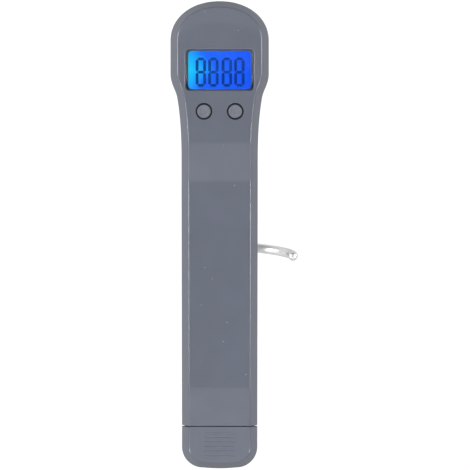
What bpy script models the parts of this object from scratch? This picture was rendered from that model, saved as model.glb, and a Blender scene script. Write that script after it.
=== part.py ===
"""Digital luggage scale: moulded body, display head, battery cap and a swinging, swivelling hook.

X runs across the body, +Y towards the display head and +Z out of the display side.
The origin lies on the parting plane of the two shells, above the pin that carries the hook.
All sizes are in millimetres, and every mesh is scaled to metres when it becomes an object.
"""
import math

import bmesh
import bpy
from mathutils import Matrix, Vector

for old in list(bpy.data.objects):
    bpy.data.objects.remove(old, do_unlink=True)

MM = 0.001

# Body
OVERALL_LENGTH = 195.0
PIVOT_TO_HEAD_TOP = 107.8
HEAD_WIDTH = 41.0
GRIP_WIDTH = 31.8
CAP_WIDTH = 31.4
CAP_LENGTH = 17.85
GRIP_FACE_HEIGHT = 12.0
HEAD_FACE_RISE = 1.2
FRONT_END_FALL = 2.0
BACK_DEPTH = 14.0
BACK_END_RISE = 1.4
BACK_HEAD_RISE = 2.0
SIDE_INSET = 3.0
BACK_CORNER = 6.0
END_CORNER = 9.0
HEAD_DOME = 16.5
HEAD_POWER = 2.1
SHOULDER_RISE = 35.8
GRIP_TO_SHOULDER = 41.4
WALL = 2.0

# Clearances
GAP = 0.3
SLIDE_GAP = 0.6
SEAM = 0.3

# Display and buttons
WINDOW_WIDTH = 28.8
WINDOW_HEIGHT = 18.0
WINDOW_CENTRE_Y = 78.8
WINDOW_CORNER = 2.0
VIEW_WIDTH = 26.0
VIEW_HEIGHT = 15.8
VIEW_CORNER = 1.5
LENS_THICKNESS = 1.0
LENS_RECESS = 1.0
MASK_THICKNESS = 0.8
LCD_THICKNESS = 1.5
BACKLIGHT_THICKNESS = 2.0
BOARD_TOP = 4.8
BOARD_THICKNESS = 1.2
BUTTON_DIAMETER = 5.8
BUTTON_HOLE = 7.0
BUTTON_SPACING = 13.0
BUTTON_Y = 61.4
BUTTON_TRAVEL = 0.5

# Weighing parts and hook
PIVOT_Z = -8.0
PIN_DIAMETER = 4.0
CELL_WIDTH = 10.0
CELL_HEIGHT = 9.0
CELL_END_Y = 42.0
PLATE_START_Y = 22.0
PLATE_THICKNESS = 1.5
BOLT_DIAMETER = 3.0
EAR_THICKNESS = 1.5
EAR_LENGTH = 6.6
STIRRUP_DROP = 13.3
STIRRUP_BASE = 2.0
SWING_LIMIT = 32.0
REST_SWING = 6.4
REST_SWIVEL = -5.7
WIRE_DIAMETER = 4.0
HOOK_BEND_RADIUS = 15.6
HOOK_SHANK_DROP = 39.0
HOOK_TIP_RISE = 3.0
NUT_HEIGHT = 3.0
NUT_WIDTH = 7.0
WASHER_DIAMETER = 7.8
WASHER_THICKNESS = 0.8

# Battery compartment
CELL_CENTRE_Z = -4.5
BATTERY_DIAMETER = 10.5
BATTERY_LENGTH = 44.5
BATTERY_NUB = 1.2
TRAY_WEB = 0.7
CONTACT_THICKNESS = 0.4
SKIRT_LENGTH = 4.5
SKIRT_WALL = 1.2

# Case screws
SCREW_DIAMETER = 2.0
SCREW_HEAD = 3.8
SCREW_HEAD_HEIGHT = 1.6
SCREW_SEAT_Z = -8.0
SCREW_TIP_Z = 6.5
BOSS_WALL = 1.1

LOOKS = {
    "housing": ((0.155, 0.165, 0.200), 0.42, 0.0),
    "button": ((0.27, 0.28, 0.31), 0.45, 0.0),
    "black_plastic": ((0.015, 0.015, 0.017), 0.5, 0.0),
    "lens": ((0.75, 0.85, 0.95), 0.05, 0.0),
    "lcd": ((0.02, 0.20, 0.80), 0.2, 0.0),
    "diffuser": ((0.75, 0.85, 0.95), 0.4, 0.0),
    "board": ((0.01, 0.16, 0.05), 0.5, 0.0),
    "resin": ((0.01, 0.01, 0.01), 0.3, 0.0),
    "rubber": ((0.25, 0.25, 0.25), 0.7, 0.0),
    "steel": ((0.62, 0.62, 0.63), 0.22, 1.0),
    "aluminium": ((0.70, 0.71, 0.73), 0.35, 1.0),
    "nickel": ((0.66, 0.62, 0.55), 0.30, 1.0),
    "battery": ((0.10, 0.11, 0.13), 0.35, 0.0),
    "foil": ((0.75, 0.45, 0.15), 0.4, 0.0),
    "red_wire": ((0.55, 0.02, 0.02), 0.5, 0.0),
    "black_wire": ((0.02, 0.02, 0.02), 0.5, 0.0),
    "grey_wire": ((0.35, 0.35, 0.37), 0.5, 0.0),
}

# Places worked out from the sizes above
HEAD_TOP_Y = PIVOT_TO_HEAD_TOP
BOTTOM_Y = HEAD_TOP_Y - OVERALL_LENGTH
SEAM_Y = BOTTOM_Y + CAP_LENGTH
LOWER_CREASE_Y = SEAM_Y + 15.75
UPPER_CREASE_Y = GRIP_TO_SHOULDER - 9.2
HEAD_CREASE_Y = GRIP_TO_SHOULDER + 7.0
SHOULDER_Y = GRIP_TO_SHOULDER + SHOULDER_RISE
DOME_Y = HEAD_TOP_Y - HEAD_DOME
DOME_FALL_Y = HEAD_TOP_Y - 9.5
RIM = SEAM / 2.0
HEAD_FACE_HEIGHT = GRIP_FACE_HEIGHT + HEAD_FACE_RISE
WIRE = WIRE_DIAMETER / 2.0
PIN = PIN_DIAMETER / 2.0
CELL_TOP = PIVOT_Z + CELL_HEIGHT / 2.0 + 1.3
CELL_BOTTOM = CELL_TOP - CELL_HEIGHT
CELL_START_Y = -(PIN + 3.0)

# Turns a plate drawn in X and Y so that it is drawn in Y and Z and raised along X
ACROSS = Matrix(((0.0, 0.0, 1.0), (1.0, 0.0, 0.0), (0.0, 1.0, 0.0))).to_4x4()
# Turns a plate drawn in X and Y so that it is drawn in X and Z and raised along Y
UPRIGHT = Matrix(((1.0, 0.0, 0.0), (0.0, 0.0, 1.0), (0.0, 1.0, 0.0))).to_4x4()


# Helpers -------------------------------------------------------------------------------------
def material(look):
    """Give the shared material of one finish."""
    made = bpy.data.materials.get(look)
    if made:
        return made
    colour, roughness, metallic = LOOKS[look]
    made = bpy.data.materials.new(look)
    made.use_nodes = True
    shader = made.node_tree.nodes["Principled BSDF"]
    shader.inputs["Base Color"].default_value = (*colour, 1.0)
    shader.inputs["Roughness"].default_value = roughness
    shader.inputs["Metallic"].default_value = metallic
    made.diffuse_color = (*colour, 1.0)
    return made


def add_object(name, bm, look=None, parent=None, origin=(0.0, 0.0, 0.0)):
    """Turn a mesh in millimetres into an object whose origin is at the given point."""
    bmesh.ops.translate(bm, verts=bm.verts, vec=-Vector(origin))
    bmesh.ops.scale(bm, verts=bm.verts, vec=(MM, MM, MM))
    bmesh.ops.recalc_face_normals(bm, faces=bm.faces)
    mesh = bpy.data.meshes.new(name)
    bm.to_mesh(mesh)
    bm.free()
    made = bpy.data.objects.new(name, mesh)
    bpy.context.scene.collection.objects.link(made)
    made.location = Vector(origin) * MM
    made.parent = parent
    if look:
        mesh.materials.append(material(look))
        mesh.shade_smooth()
        mesh.set_sharp_from_angle(angle=math.radians(35.0))
    else:
        made.hide_render = True
        made.display_type = "WIRE"
    return made


def combine(target, other, operation="DIFFERENCE"):
    """Cut, join or trim one object by another, which stays as a wire guide."""
    other.hide_render = True
    other.display_type = "WIRE"
    step = target.modifiers.new(operation.lower(), "BOOLEAN")
    step.operation = operation
    step.solver = "EXACT"
    step.object = other


def add_box(bm, low, high):
    """Add a box between two corners."""
    size = [top - bottom for bottom, top in zip(low, high)]
    centre = [(top + bottom) / 2.0 for bottom, top in zip(low, high)]
    place = Matrix.Translation(centre) @ Matrix.Diagonal((*size, 1.0))
    bmesh.ops.create_cube(bm, size=1.0, matrix=place)


def add_mirrored_boxes(bm, low, high):
    """Add a box at +X and its twin at -X."""
    add_box(bm, low, high)
    add_box(bm, (-high[0], low[1], low[2]), (-low[0], high[1], high[2]))


def add_rod(bm, start, end, radius, sides=24, end_radius=None):
    """Add a cylinder or a cone frustum between two points."""
    along = Vector(end) - Vector(start)
    middle = (Vector(start) + Vector(end)) / 2.0
    place = Matrix.Translation(middle) @ along.to_track_quat("Z", "Y").to_matrix().to_4x4()
    last = radius if end_radius is None else end_radius
    bmesh.ops.create_cone(bm, cap_ends=True, segments=sides, radius1=radius, radius2=last,
                          depth=along.length, matrix=place)


def add_plate(bm, outline, low, high):
    """Raise a flat outline of X and Y points into a plate between two heights."""
    corners = [bm.verts.new((x, y, low)) for x, y in outline]
    face = bm.faces.new(corners)
    raised = bmesh.ops.extrude_face_region(bm, geom=[face])["geom"]
    moved = [item for item in raised if isinstance(item, bmesh.types.BMVert)]
    bmesh.ops.translate(bm, verts=moved, vec=(0.0, 0.0, high - low))


def rounded_rectangle(width, height, corner, centre=(0.0, 0.0), steps=5):
    """Give the outline of a rectangle with round corners."""
    points = []
    for quarter in range(4):
        turn = quarter * math.pi / 2.0
        side_x = 1.0 if quarter in (0, 3) else -1.0
        side_y = 1.0 if quarter in (0, 1) else -1.0
        for step in range(steps + 1):
            angle = turn + step / steps * math.pi / 2.0
            x = centre[0] + side_x * (width / 2.0 - corner) + corner * math.cos(angle)
            y = centre[1] + side_y * (height / 2.0 - corner) + corner * math.sin(angle)
            points.append((x, y))
    return points


def add_sweep(bm, points, radii, sides):
    """Carry a circle along a line of points, closed at both ends."""
    rings = []
    side = None
    for index, point in enumerate(points):
        before = points[max(index - 1, 0)]
        after = points[min(index + 1, len(points) - 1)]
        along = (after - before).normalized()
        if side is None:
            side = along.orthogonal()
        side = (side - along * side.dot(along)).normalized()
        other = along.cross(side)
        ring = []
        for step in range(sides):
            angle = step / sides * 2.0 * math.pi
            offset = side * math.cos(angle) + other * math.sin(angle)
            ring.append(bm.verts.new(point + offset * radii[index]))
        rings.append(ring)
    add_skin(bm, rings)
    bm.faces.new(rings[0])
    bm.faces.new(rings[-1])


def add_turned(bm, centre, axis, profile, sides=24):
    """Turn a profile of (distance along the axis, radius) into a closed solid."""
    turn = Vector(axis).to_track_quat("Z", "Y").to_matrix()
    rings = []
    for along, radius in profile:
        ring = []
        for step in range(sides):
            angle = step / sides * 2.0 * math.pi
            local = Vector((radius * math.cos(angle), radius * math.sin(angle), along))
            ring.append(bm.verts.new(Vector(centre) + turn @ local))
        rings.append(ring)
    add_skin(bm, rings)
    bm.faces.new(rings[0])
    bm.faces.new(rings[-1])


def add_skin(bm, rings):
    """Join rings of vertices, each to the next, with four-sided faces."""
    for lower, upper in zip(rings, rings[1:]):
        for index in range(len(lower)):
            following = (index + 1) % len(lower)
            bm.faces.new((lower[index], lower[following], upper[following], upper[index]))


def smooth_path(points, steps):
    """Give points on a smooth curve that passes through the given points."""
    knots = [Vector(point) for point in points]
    knots = [knots[0] * 2.0 - knots[1]] + knots + [knots[-1] * 2.0 - knots[-2]]
    path = []
    for index in range(1, len(knots) - 2):
        for step in range(steps):
            share = step / steps
            path.append(catmull_rom(knots[index - 1:index + 3], share))
    path.append(knots[-2].copy())
    return path


def catmull_rom(four, share):
    """Give the point a share of the way from the second to the third of four points."""
    square = share * share
    cube = square * share
    point = four[0] * (-cube + 2.0 * square - share)
    point += four[1] * (3.0 * cube - 5.0 * square + 2.0)
    point += four[2] * (-3.0 * cube + 4.0 * square + share)
    point += four[3] * (cube - square)
    return point / 2.0


def interpolate(stations, position):
    """Read a value between stations of (position, value), held level past both ends."""
    if position <= stations[0][0]:
        return stations[0][1]
    for (start, first), (end, last) in zip(stations, stations[1:]):
        if position <= end:
            return first + (last - first) * (position - start) / (end - start)
    return stations[-1][1]


def hermite(start, end, position):
    """Read a smooth curve between two stations of (position, value, slope)."""
    length = end[0] - start[0]
    share = (position - start[0]) / length
    square = share * share
    cube = square * share
    value = start[1] * (2.0 * cube - 3.0 * square + 1.0)
    value += end[1] * (3.0 * square - 2.0 * cube)
    value += start[2] * length * (cube - 2.0 * square + share)
    value += end[2] * length * (cube - square)
    return value


# Body surface --------------------------------------------------------------------------------
def face_height(y):
    """Height of the display side above the parting plane."""
    stations = (
        (BOTTOM_Y, GRIP_FACE_HEIGHT - FRONT_END_FALL),
        (LOWER_CREASE_Y, GRIP_FACE_HEIGHT),
        (UPPER_CREASE_Y, GRIP_FACE_HEIGHT),
        (HEAD_CREASE_Y, HEAD_FACE_HEIGHT),
        (DOME_FALL_Y, HEAD_FACE_HEIGHT),
        (HEAD_TOP_Y, HEAD_FACE_HEIGHT - 1.0),
    )
    return interpolate(stations, y)


def back_depth(y):
    """Depth of the back below the parting plane."""
    stations = (
        (BOTTOM_Y, BACK_DEPTH - BACK_END_RISE),
        (SEAM_Y, BACK_DEPTH),
        (SHOULDER_Y, BACK_DEPTH),
        (HEAD_TOP_Y, BACK_DEPTH - BACK_HEAD_RISE),
    )
    return interpolate(stations, y)


def half_width(y):
    """Half the body's width on the parting plane, between the end corners and the dome."""
    grip = GRIP_WIDTH / 2.0
    head = HEAD_WIDTH / 2.0
    growth = head - grip
    stations = (
        (GRIP_TO_SHOULDER, grip, 0.0),
        (GRIP_TO_SHOULDER + SHOULDER_RISE * 0.73, grip + growth * 0.395, growth * 0.037),
        (GRIP_TO_SHOULDER + SHOULDER_RISE * 0.855, grip + growth * 0.745, growth * 0.087),
        (SHOULDER_Y, head, 0.0),
    )
    if y <= GRIP_TO_SHOULDER:
        return interpolate(((SEAM_Y, CAP_WIDTH / 2.0), (UPPER_CREASE_Y, grip)), y)
    for start, end in zip(stations, stations[1:]):
        if y <= end[0]:
            return hermite(start, end, y)
    return head


def right_side():
    """Outline of the body's right half from the bottom to the head's top."""
    points = []
    cap = CAP_WIDTH / 2.0
    corner_steps = 5
    for step in range(corner_steps + 1):
        angle = (step / corner_steps - 1.0) * math.pi / 2.0
        x = cap - END_CORNER + END_CORNER * math.cos(angle)
        points.append((x, BOTTOM_Y + END_CORNER + END_CORNER * math.sin(angle)))
    for y in (LOWER_CREASE_Y, UPPER_CREASE_Y, GRIP_TO_SHOULDER, HEAD_CREASE_Y):
        points.append((half_width(y), y))
    shoulder_steps = 8
    for step in range(1, shoulder_steps + 1):
        y = HEAD_CREASE_Y + (SHOULDER_Y - HEAD_CREASE_Y) * step / shoulder_steps
        points.append((half_width(y), y))
    dome_steps = 10
    for step in range(dome_steps):
        angle = step / dome_steps * math.pi / 2.0
        x = HEAD_WIDTH / 2.0 * math.cos(angle) ** (2.0 / HEAD_POWER)
        y = DOME_Y + HEAD_DOME * math.sin(angle) ** (2.0 / HEAD_POWER)
        points.append((x, y))
    return [Vector(point) for point in points]


def body_outline(inset):
    """Closed outline of the body, moved inwards everywhere by the same distance."""
    right = right_side()
    loop = right + [Vector((-point.x, point.y)) for point in reversed(right)]
    moved = []
    for index, point in enumerate(loop):
        arriving = (point - loop[index - 1]).normalized()
        leaving = (loop[(index + 1) % len(loop)] - point).normalized()
        along = (arriving + leaving).normalized()
        inward = Vector((-along.y, along.x))
        stretch = max(along.dot(arriving), 0.5)
        moved.append(point + inward * (inset / stretch))
    return moved


def front_rings(offset, floor):
    """Rings from a level near the parting plane up to the display side."""
    levels = ((0.0, 0.0), (0.5, 0.43), (0.93, 0.84), (0.985, 0.98), (1.0, 1.2))
    if offset > 0.0:
        levels = (levels[0], levels[2], levels[4])
    rings = []
    for height_share, inset_share in levels:
        ring = []
        for point in body_outline(offset + SIDE_INSET * inset_share):
            top = face_height(point.y) - offset
            ring.append((point.x, point.y, floor + (top - floor) * height_share))
        rings.append(ring)
    return rings


def back_rings(offset, ceiling):
    """Rings from a level near the parting plane down to the back."""
    corner = BACK_CORNER - 0.8 * offset
    steps = 5 if offset == 0.0 else 3
    rings = []
    for step in range(steps + 1):
        angle = step / steps * math.pi / 2.0
        ring = []
        for point in body_outline(offset + corner * (1.0 - math.cos(angle))):
            bottom = offset - back_depth(point.y)
            ring.append((point.x, point.y, ceiling + (bottom - ceiling) * math.sin(angle)))
        rings.append(ring)
    return rings


def level_ring(offset, z):
    """One ring of the body's outline at a single height."""
    return [(point.x, point.y, z) for point in body_outline(offset)]


def add_body(bm, rings):
    """Close a stack of body rings, each end as a ladder of flat strips across the body."""
    made = [[bm.verts.new(point) for point in ring] for ring in rings]
    add_skin(bm, made)
    for ring in (made[0], made[-1]):
        count = len(ring)
        for index in range(count // 2 - 1):
            mirror = count - 1 - index
            bm.faces.new((ring[index], ring[index + 1], ring[mirror - 1], ring[mirror]))


def whole_body(offset):
    """Rings of the complete body from its back to its display side."""
    return list(reversed(back_rings(offset, 0.0))) + front_rings(offset, 0.0)[1:]


def body_guide(name, rings):
    """Make a guide object from body rings."""
    bm = bmesh.new()
    add_body(bm, rings)
    return add_object(name, bm)


def guide_box(name, low, high):
    """Make a box that only cuts or trims."""
    bm = bmesh.new()
    add_box(bm, low, high)
    return add_object(name, bm)


# Places that several pieces share ------------------------------------------------------------
def case_screw_places():
    """X and Y of the six screws that hold the shells together."""
    grip_x = GRIP_WIDTH / 2.0 - WALL - SIDE_INSET - 0.3
    lower_y = -(slot_half_length() + 5.0)
    places = []
    for side in (-1.0, 1.0):
        places.append((side * (HEAD_WIDTH / 2.0 - 8.0), DOME_Y + 6.2))
        places.append((side * grip_x, CELL_END_Y + 4.0))
        places.append((side * grip_x, lower_y))
    return places


def board_screw_places():
    """X and Y of the four screws that hold the circuit board."""
    places = []
    for side in (-1.0, 1.0):
        places.append((side * (HEAD_WIDTH / 2.0 - 7.3), WINDOW_CENTRE_Y + WINDOW_HEIGHT / 2.0 + 3.2))
        places.append((side * (BUTTON_SPACING / 2.0 + 3.7), BUTTON_Y - 5.6))
    return places


def ear_inner():
    """Distance from the centre to the inner face of each stirrup ear."""
    return CELL_WIDTH / 2.0 + SLIDE_GAP


def ear_outer():
    """Distance from the centre to the outer face of each stirrup ear."""
    return ear_inner() + EAR_THICKNESS


def slot_half_length():
    """Half the clear length of the back slot, which lets stirrup and washer swing to their limit."""
    swing = math.radians(SWING_LIMIT)
    depth = BACK_DEPTH + 1.1 + PIVOT_Z
    ear_reach = depth * math.tan(swing) + EAR_LENGTH / 2.0 / math.cos(swing)
    washer_top = STIRRUP_DROP - STIRRUP_BASE - GAP - WASHER_THICKNESS
    washer_reach = washer_top * math.sin(swing) + WASHER_DIAMETER / 2.0 * math.cos(swing)
    return max(ear_reach, washer_reach) + SLIDE_GAP


def slot_half_width():
    """Half the clear width of the back slot."""
    return ear_outer() + SLIDE_GAP + GAP


def battery_x():
    """Distance of each battery's axis from the centre."""
    return BATTERY_DIAMETER / 2.0 + GAP + TRAY_WEB / 2.0


def battery_span(side):
    """Y of the lower and upper end of a battery with its nub; side 1 has its nub at the top."""
    lower = SEAM_Y + 2.55
    if side < 0:
        lower -= 1.8
    return lower, lower + BATTERY_LENGTH


def tray_wall_y():
    """Y of the tray's end wall, on its battery side."""
    return battery_span(1)[1] + GAP + CONTACT_THICKNESS + GAP


# Housing -------------------------------------------------------------------------------------
def make_front_shell():
    """Upper shell with its window, button holes, bosses and clamp posts."""
    shell = add_object("front_shell", body_mesh(front_rings(0.0, RIM)), "housing")
    core = body_guide("front_core", [level_ring(WALL, -1.0)] + front_rings(WALL, RIM))
    combine(core, front_pads())
    combine(shell, core)
    combine(shell, front_cuts())
    return shell


def body_mesh(rings):
    """Give a mesh made of closed body rings."""
    bm = bmesh.new()
    add_body(bm, rings)
    return bm


def front_pads():
    """Bosses, clamp posts and battery ribs that grow from the inside of the front shell."""
    bm = bmesh.new()
    reach = HEAD_FACE_HEIGHT + 5.0
    screw_boss = SCREW_DIAMETER / 2.0 + GAP + BOSS_WALL
    for x, y in case_screw_places():
        add_rod(bm, (x, y, -0.5), (x, y, reach), screw_boss)
    for x, y in board_screw_places():
        add_rod(bm, (x, y, BOARD_TOP + GAP), (x, y, reach), 2.0)
    post_x = ear_outer() + 2.4
    add_mirrored_boxes(bm, (post_x, PLATE_START_Y + 3.0, -0.5),
                       (post_x + 2.0, CELL_END_Y - 5.0, reach))
    rib_low = CELL_CENTRE_Z + BATTERY_DIAMETER / 2.0 + GAP
    rib_x = battery_x() - 0.6
    add_mirrored_boxes(bm, (rib_x, battery_span(1)[0] + 7.0, rib_low),
                       (rib_x + 1.2, tray_wall_y() - 7.0, reach))
    return add_object("front_pads", bm)


def front_cuts():
    """Window, button holes, pilot holes and the open end of the front shell."""
    bm = bmesh.new()
    window = rounded_rectangle(WINDOW_WIDTH, WINDOW_HEIGHT, WINDOW_CORNER, (0.0, WINDOW_CENTRE_Y))
    lens_bottom = HEAD_FACE_HEIGHT - LENS_RECESS - LENS_THICKNESS
    add_plate(bm, window, lens_bottom - GAP, HEAD_FACE_HEIGHT + 2.0)
    for side in (-1.0, 1.0):
        x = side * BUTTON_SPACING / 2.0
        low = HEAD_FACE_HEIGHT - WALL - 1.5
        add_rod(bm, (x, BUTTON_Y, low), (x, BUTTON_Y, HEAD_FACE_HEIGHT + 2.0), BUTTON_HOLE / 2.0, 32)
    pilot = SCREW_DIAMETER / 2.0 + GAP
    for x, y in case_screw_places():
        add_rod(bm, (x, y, -1.5), (x, y, SCREW_TIP_Z + 1.0), pilot, 16)
    for x, y in board_screw_places():
        add_rod(bm, (x, y, BOARD_TOP - 1.0), (x, y, BOARD_TOP + 4.5), 1.1, 12)
    wide = HEAD_WIDTH
    add_box(bm, (-wide, BOTTOM_Y - 5.0, -5.0), (wide, SEAM_Y + SEAM / 2.0, 30.0))
    return add_object("front_cuts", bm)


def make_back_shell():
    """Lower shell with its hook slot, screw wells, chassis posts and battery rib."""
    shell = add_object("back_shell", body_mesh(back_rings(0.0, -RIM)), "housing")
    core = body_guide("back_core", [level_ring(WALL, 1.0)] + back_rings(WALL, -RIM))
    combine(core, back_pads())
    combine(shell, core)
    combine(shell, back_cuts())
    return shell


def back_pads():
    """Screw wells, plate posts and the rib under the battery tray."""
    bm = bmesh.new()
    reach = -BACK_DEPTH - 5.0
    for x, y in case_screw_places():
        add_rod(bm, (x, y, reach), (x, y, 0.5), SCREW_HEAD / 2.0 + GAP + BOSS_WALL)
    post_x = CELL_WIDTH / 2.0 + 3.6
    add_mirrored_boxes(bm, (post_x, PLATE_START_Y + 1.0, reach),
                       (post_x + 3.0, CELL_END_Y - 3.0, CELL_TOP + 0.2))
    rib_top = CELL_CENTRE_Z - 2.0 - GAP
    add_box(bm, (-0.6, battery_span(1)[0] + 5.0, reach), (0.6, tray_wall_y() - 2.0, rib_top))
    return add_object("back_pads", bm)


def back_cuts():
    """Hook slot, screw holes with their counterbores and the open end of the back shell."""
    bm = bmesh.new()
    sleeve = 1.2
    slot = rounded_rectangle(2.0 * (slot_half_width() + sleeve), 2.0 * (slot_half_length() + sleeve),
                             2.6)
    add_plate(bm, slot, -BACK_DEPTH - 4.0, -BACK_DEPTH + 5.0)
    for x, y in case_screw_places():
        well = SCREW_HEAD / 2.0 + GAP
        hole = SCREW_DIAMETER / 2.0 + GAP
        profile = ((-BACK_DEPTH - 4.0, well), (SCREW_SEAT_Z, well), (SCREW_SEAT_Z, hole), (2.0, hole))
        add_turned(bm, (x, y, 0.0), (0.0, 0.0, 1.0), profile, 20)
    wide = HEAD_WIDTH
    add_box(bm, (-wide, BOTTOM_Y - 5.0, -30.0), (wide, SEAM_Y + SEAM / 2.0, 5.0))
    return add_object("back_cuts", bm)


def make_end_cap():
    """Battery cap with a skirt that slides into the shells and ribs for the finger."""
    cap = add_object("end_cap", body_mesh(whole_body(0.0)), "housing")
    skirt = body_guide("cap_skirt", whole_body(WALL + GAP))
    cavity = body_guide("cap_cavity", whole_body(WALL + GAP + SKIRT_WALL))
    combine(cavity, cap_posts())
    wide = HEAD_WIDTH
    skirt_end = SEAM_Y + SKIRT_LENGTH
    combine(skirt, guide_box("skirt_top_cut", (-wide, skirt_end, -30.0), (wide, HEAD_TOP_Y + 20.0, 30.0)))
    combine(skirt, guide_box("skirt_low_cut", (-wide, BOTTOM_Y - 20.0, -30.0), (wide, SEAM_Y - 1.5, 30.0)))
    top_cut = guide_box("cap_top_cut", (-wide, SEAM_Y - SEAM / 2.0, -30.0), (wide, HEAD_TOP_Y + 20.0, 30.0))
    combine(cap, top_cut)
    combine(cap, skirt, "UNION")
    combine(cap, cavity)
    if BATTERY_DIAMETER / 2.0 + GAP > skirt_room():
        combine(cap, battery_reliefs())
    combine(cap, rib_grooves())
    return cap


def skirt_room():
    """Distance from a battery's axis to the nearest wall of the cap's skirt."""
    skin = WALL + GAP + SKIRT_WALL
    return min(CAP_WIDTH / 2.0 - skin - battery_x(), BACK_DEPTH - skin + CELL_CENTRE_Z)


def battery_reliefs():
    """Room in the cap's skirt for the ends of batteries that come near its walls."""
    bm = bmesh.new()
    radius = BATTERY_DIAMETER / 2.0 + GAP
    for side in (-1.0, 1.0):
        x = side * battery_x()
        low = (x, battery_span(side)[0] - GAP, CELL_CENTRE_Z)
        high = (x, SEAM_Y + SKIRT_LENGTH + 2.0, CELL_CENTRE_Z)
        add_rod(bm, low, high, radius, 32)
    return add_object("battery_reliefs", bm)


def cap_posts():
    """Posts inside the cap that carry the bridge contact."""
    bm = bmesh.new()
    top = SEAM_Y - 0.4
    for x in (-battery_x(), battery_x()):
        add_box(bm, (x - 1.0, BOTTOM_Y - 2.0, CELL_CENTRE_Z - 4.0), (x + 1.0, top, CELL_CENTRE_Z + 4.0))
    return add_object("cap_posts", bm)


def rib_grooves():
    """Grooves between the finger ribs on the cap's display side."""
    bm = bmesh.new()
    pitch = 1.86
    width = 0.95
    depth = 0.45
    half_length = 5.6
    first = SEAM_Y - 3.9
    for index in range(5):
        y = first - pitch * index
        floor = face_height(y) - depth
        add_box(bm, (-half_length, y - width / 2.0, floor), (half_length, y + width / 2.0, floor + 4.0))
    return add_object("rib_grooves", bm)


def make_slot_trim():
    """Liner of the hook slot, with a flange on the back."""
    bm = bmesh.new()
    half_x = slot_half_width()
    half_y = slot_half_length()
    flange_top = -BACK_DEPTH - GAP
    flange = rounded_rectangle(2.0 * half_x + 3.4, 2.0 * half_y + 4.6, 3.0)
    add_plate(bm, flange, flange_top - 0.8, flange_top)
    trim = add_object("slot_trim", bm, "black_plastic")
    bm = bmesh.new()
    sleeve = rounded_rectangle(2.0 * half_x + 1.8, 2.0 * half_y + 1.8, 2.3)
    add_plate(bm, sleeve, flange_top - 0.4, -BACK_DEPTH + WALL + 0.2)
    combine(trim, add_object("trim_sleeve", bm), "UNION")
    bm = bmesh.new()
    clear = rounded_rectangle(2.0 * half_x, 2.0 * half_y, 1.4)
    add_plate(bm, clear, flange_top - 3.0, -BACK_DEPTH + WALL + 3.0)
    combine(trim, add_object("trim_clear", bm))
    return trim


def make_screw(name, place, axis, head, shank, look="steel"):
    """Make a screw from the radius and height of its head and shank, with a cross recess."""
    bm = bmesh.new()
    head_radius, head_height = head
    shank_radius, shank_length = shank
    profile = ((-head_height, head_radius * 0.85), (-head_height * 0.7, head_radius),
               (0.0, head_radius), (0.0, shank_radius),
               (shank_length - shank_radius, shank_radius), (shank_length, shank_radius * 0.4))
    add_turned(bm, place, axis, profile, 12)
    screw = add_object(name, bm, look, origin=place)
    bm = bmesh.new()
    arm = head_radius * 0.62
    thin = head_radius * 0.16
    outer = Vector(place) - Vector(axis) * head_height
    cross = ((arm, thin), (thin, thin), (thin, arm), (-thin, arm), (-thin, thin), (-arm, thin),
             (-arm, -thin), (-thin, -thin), (-thin, -arm), (thin, -arm), (thin, -thin), (arm, -thin))
    add_plate(bm, cross, -0.5, head_height * 0.5)
    turn = Vector(axis).to_track_quat("Z", "Y").to_matrix().to_4x4()
    bmesh.ops.transform(bm, matrix=Matrix.Translation(outer) @ turn, verts=bm.verts)
    combine(screw, add_object(name + "_recess", bm))
    return screw


def make_case_screws():
    """Six screws from the back shell into the front shell."""
    seat = SCREW_SEAT_Z - GAP
    for number, (x, y) in enumerate(case_screw_places(), 1):
        make_screw("case_screw_%d" % number, (x, y, seat), (0.0, 0.0, 1.0),
                   (SCREW_HEAD / 2.0, SCREW_HEAD_HEIGHT), (SCREW_DIAMETER / 2.0, SCREW_TIP_Z - seat))


# Display and buttons -------------------------------------------------------------------------
def stack_levels():
    """Heights of the display stack, from the lens down to the light guide."""
    lens_low = HEAD_FACE_HEIGHT - LENS_RECESS - LENS_THICKNESS
    mask_top = HEAD_FACE_HEIGHT - WALL - GAP
    mask_low = mask_top - MASK_THICKNESS
    lcd_top = mask_low - GAP
    lcd_low = lcd_top - LCD_THICKNESS
    light_top = lcd_low - GAP
    return {
        "lens": (lens_low, lens_low + LENS_THICKNESS),
        "mask": (mask_low, mask_top),
        "lcd": (lcd_low, lcd_top),
        "light": (light_top - BACKLIGHT_THICKNESS, light_top),
    }


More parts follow.
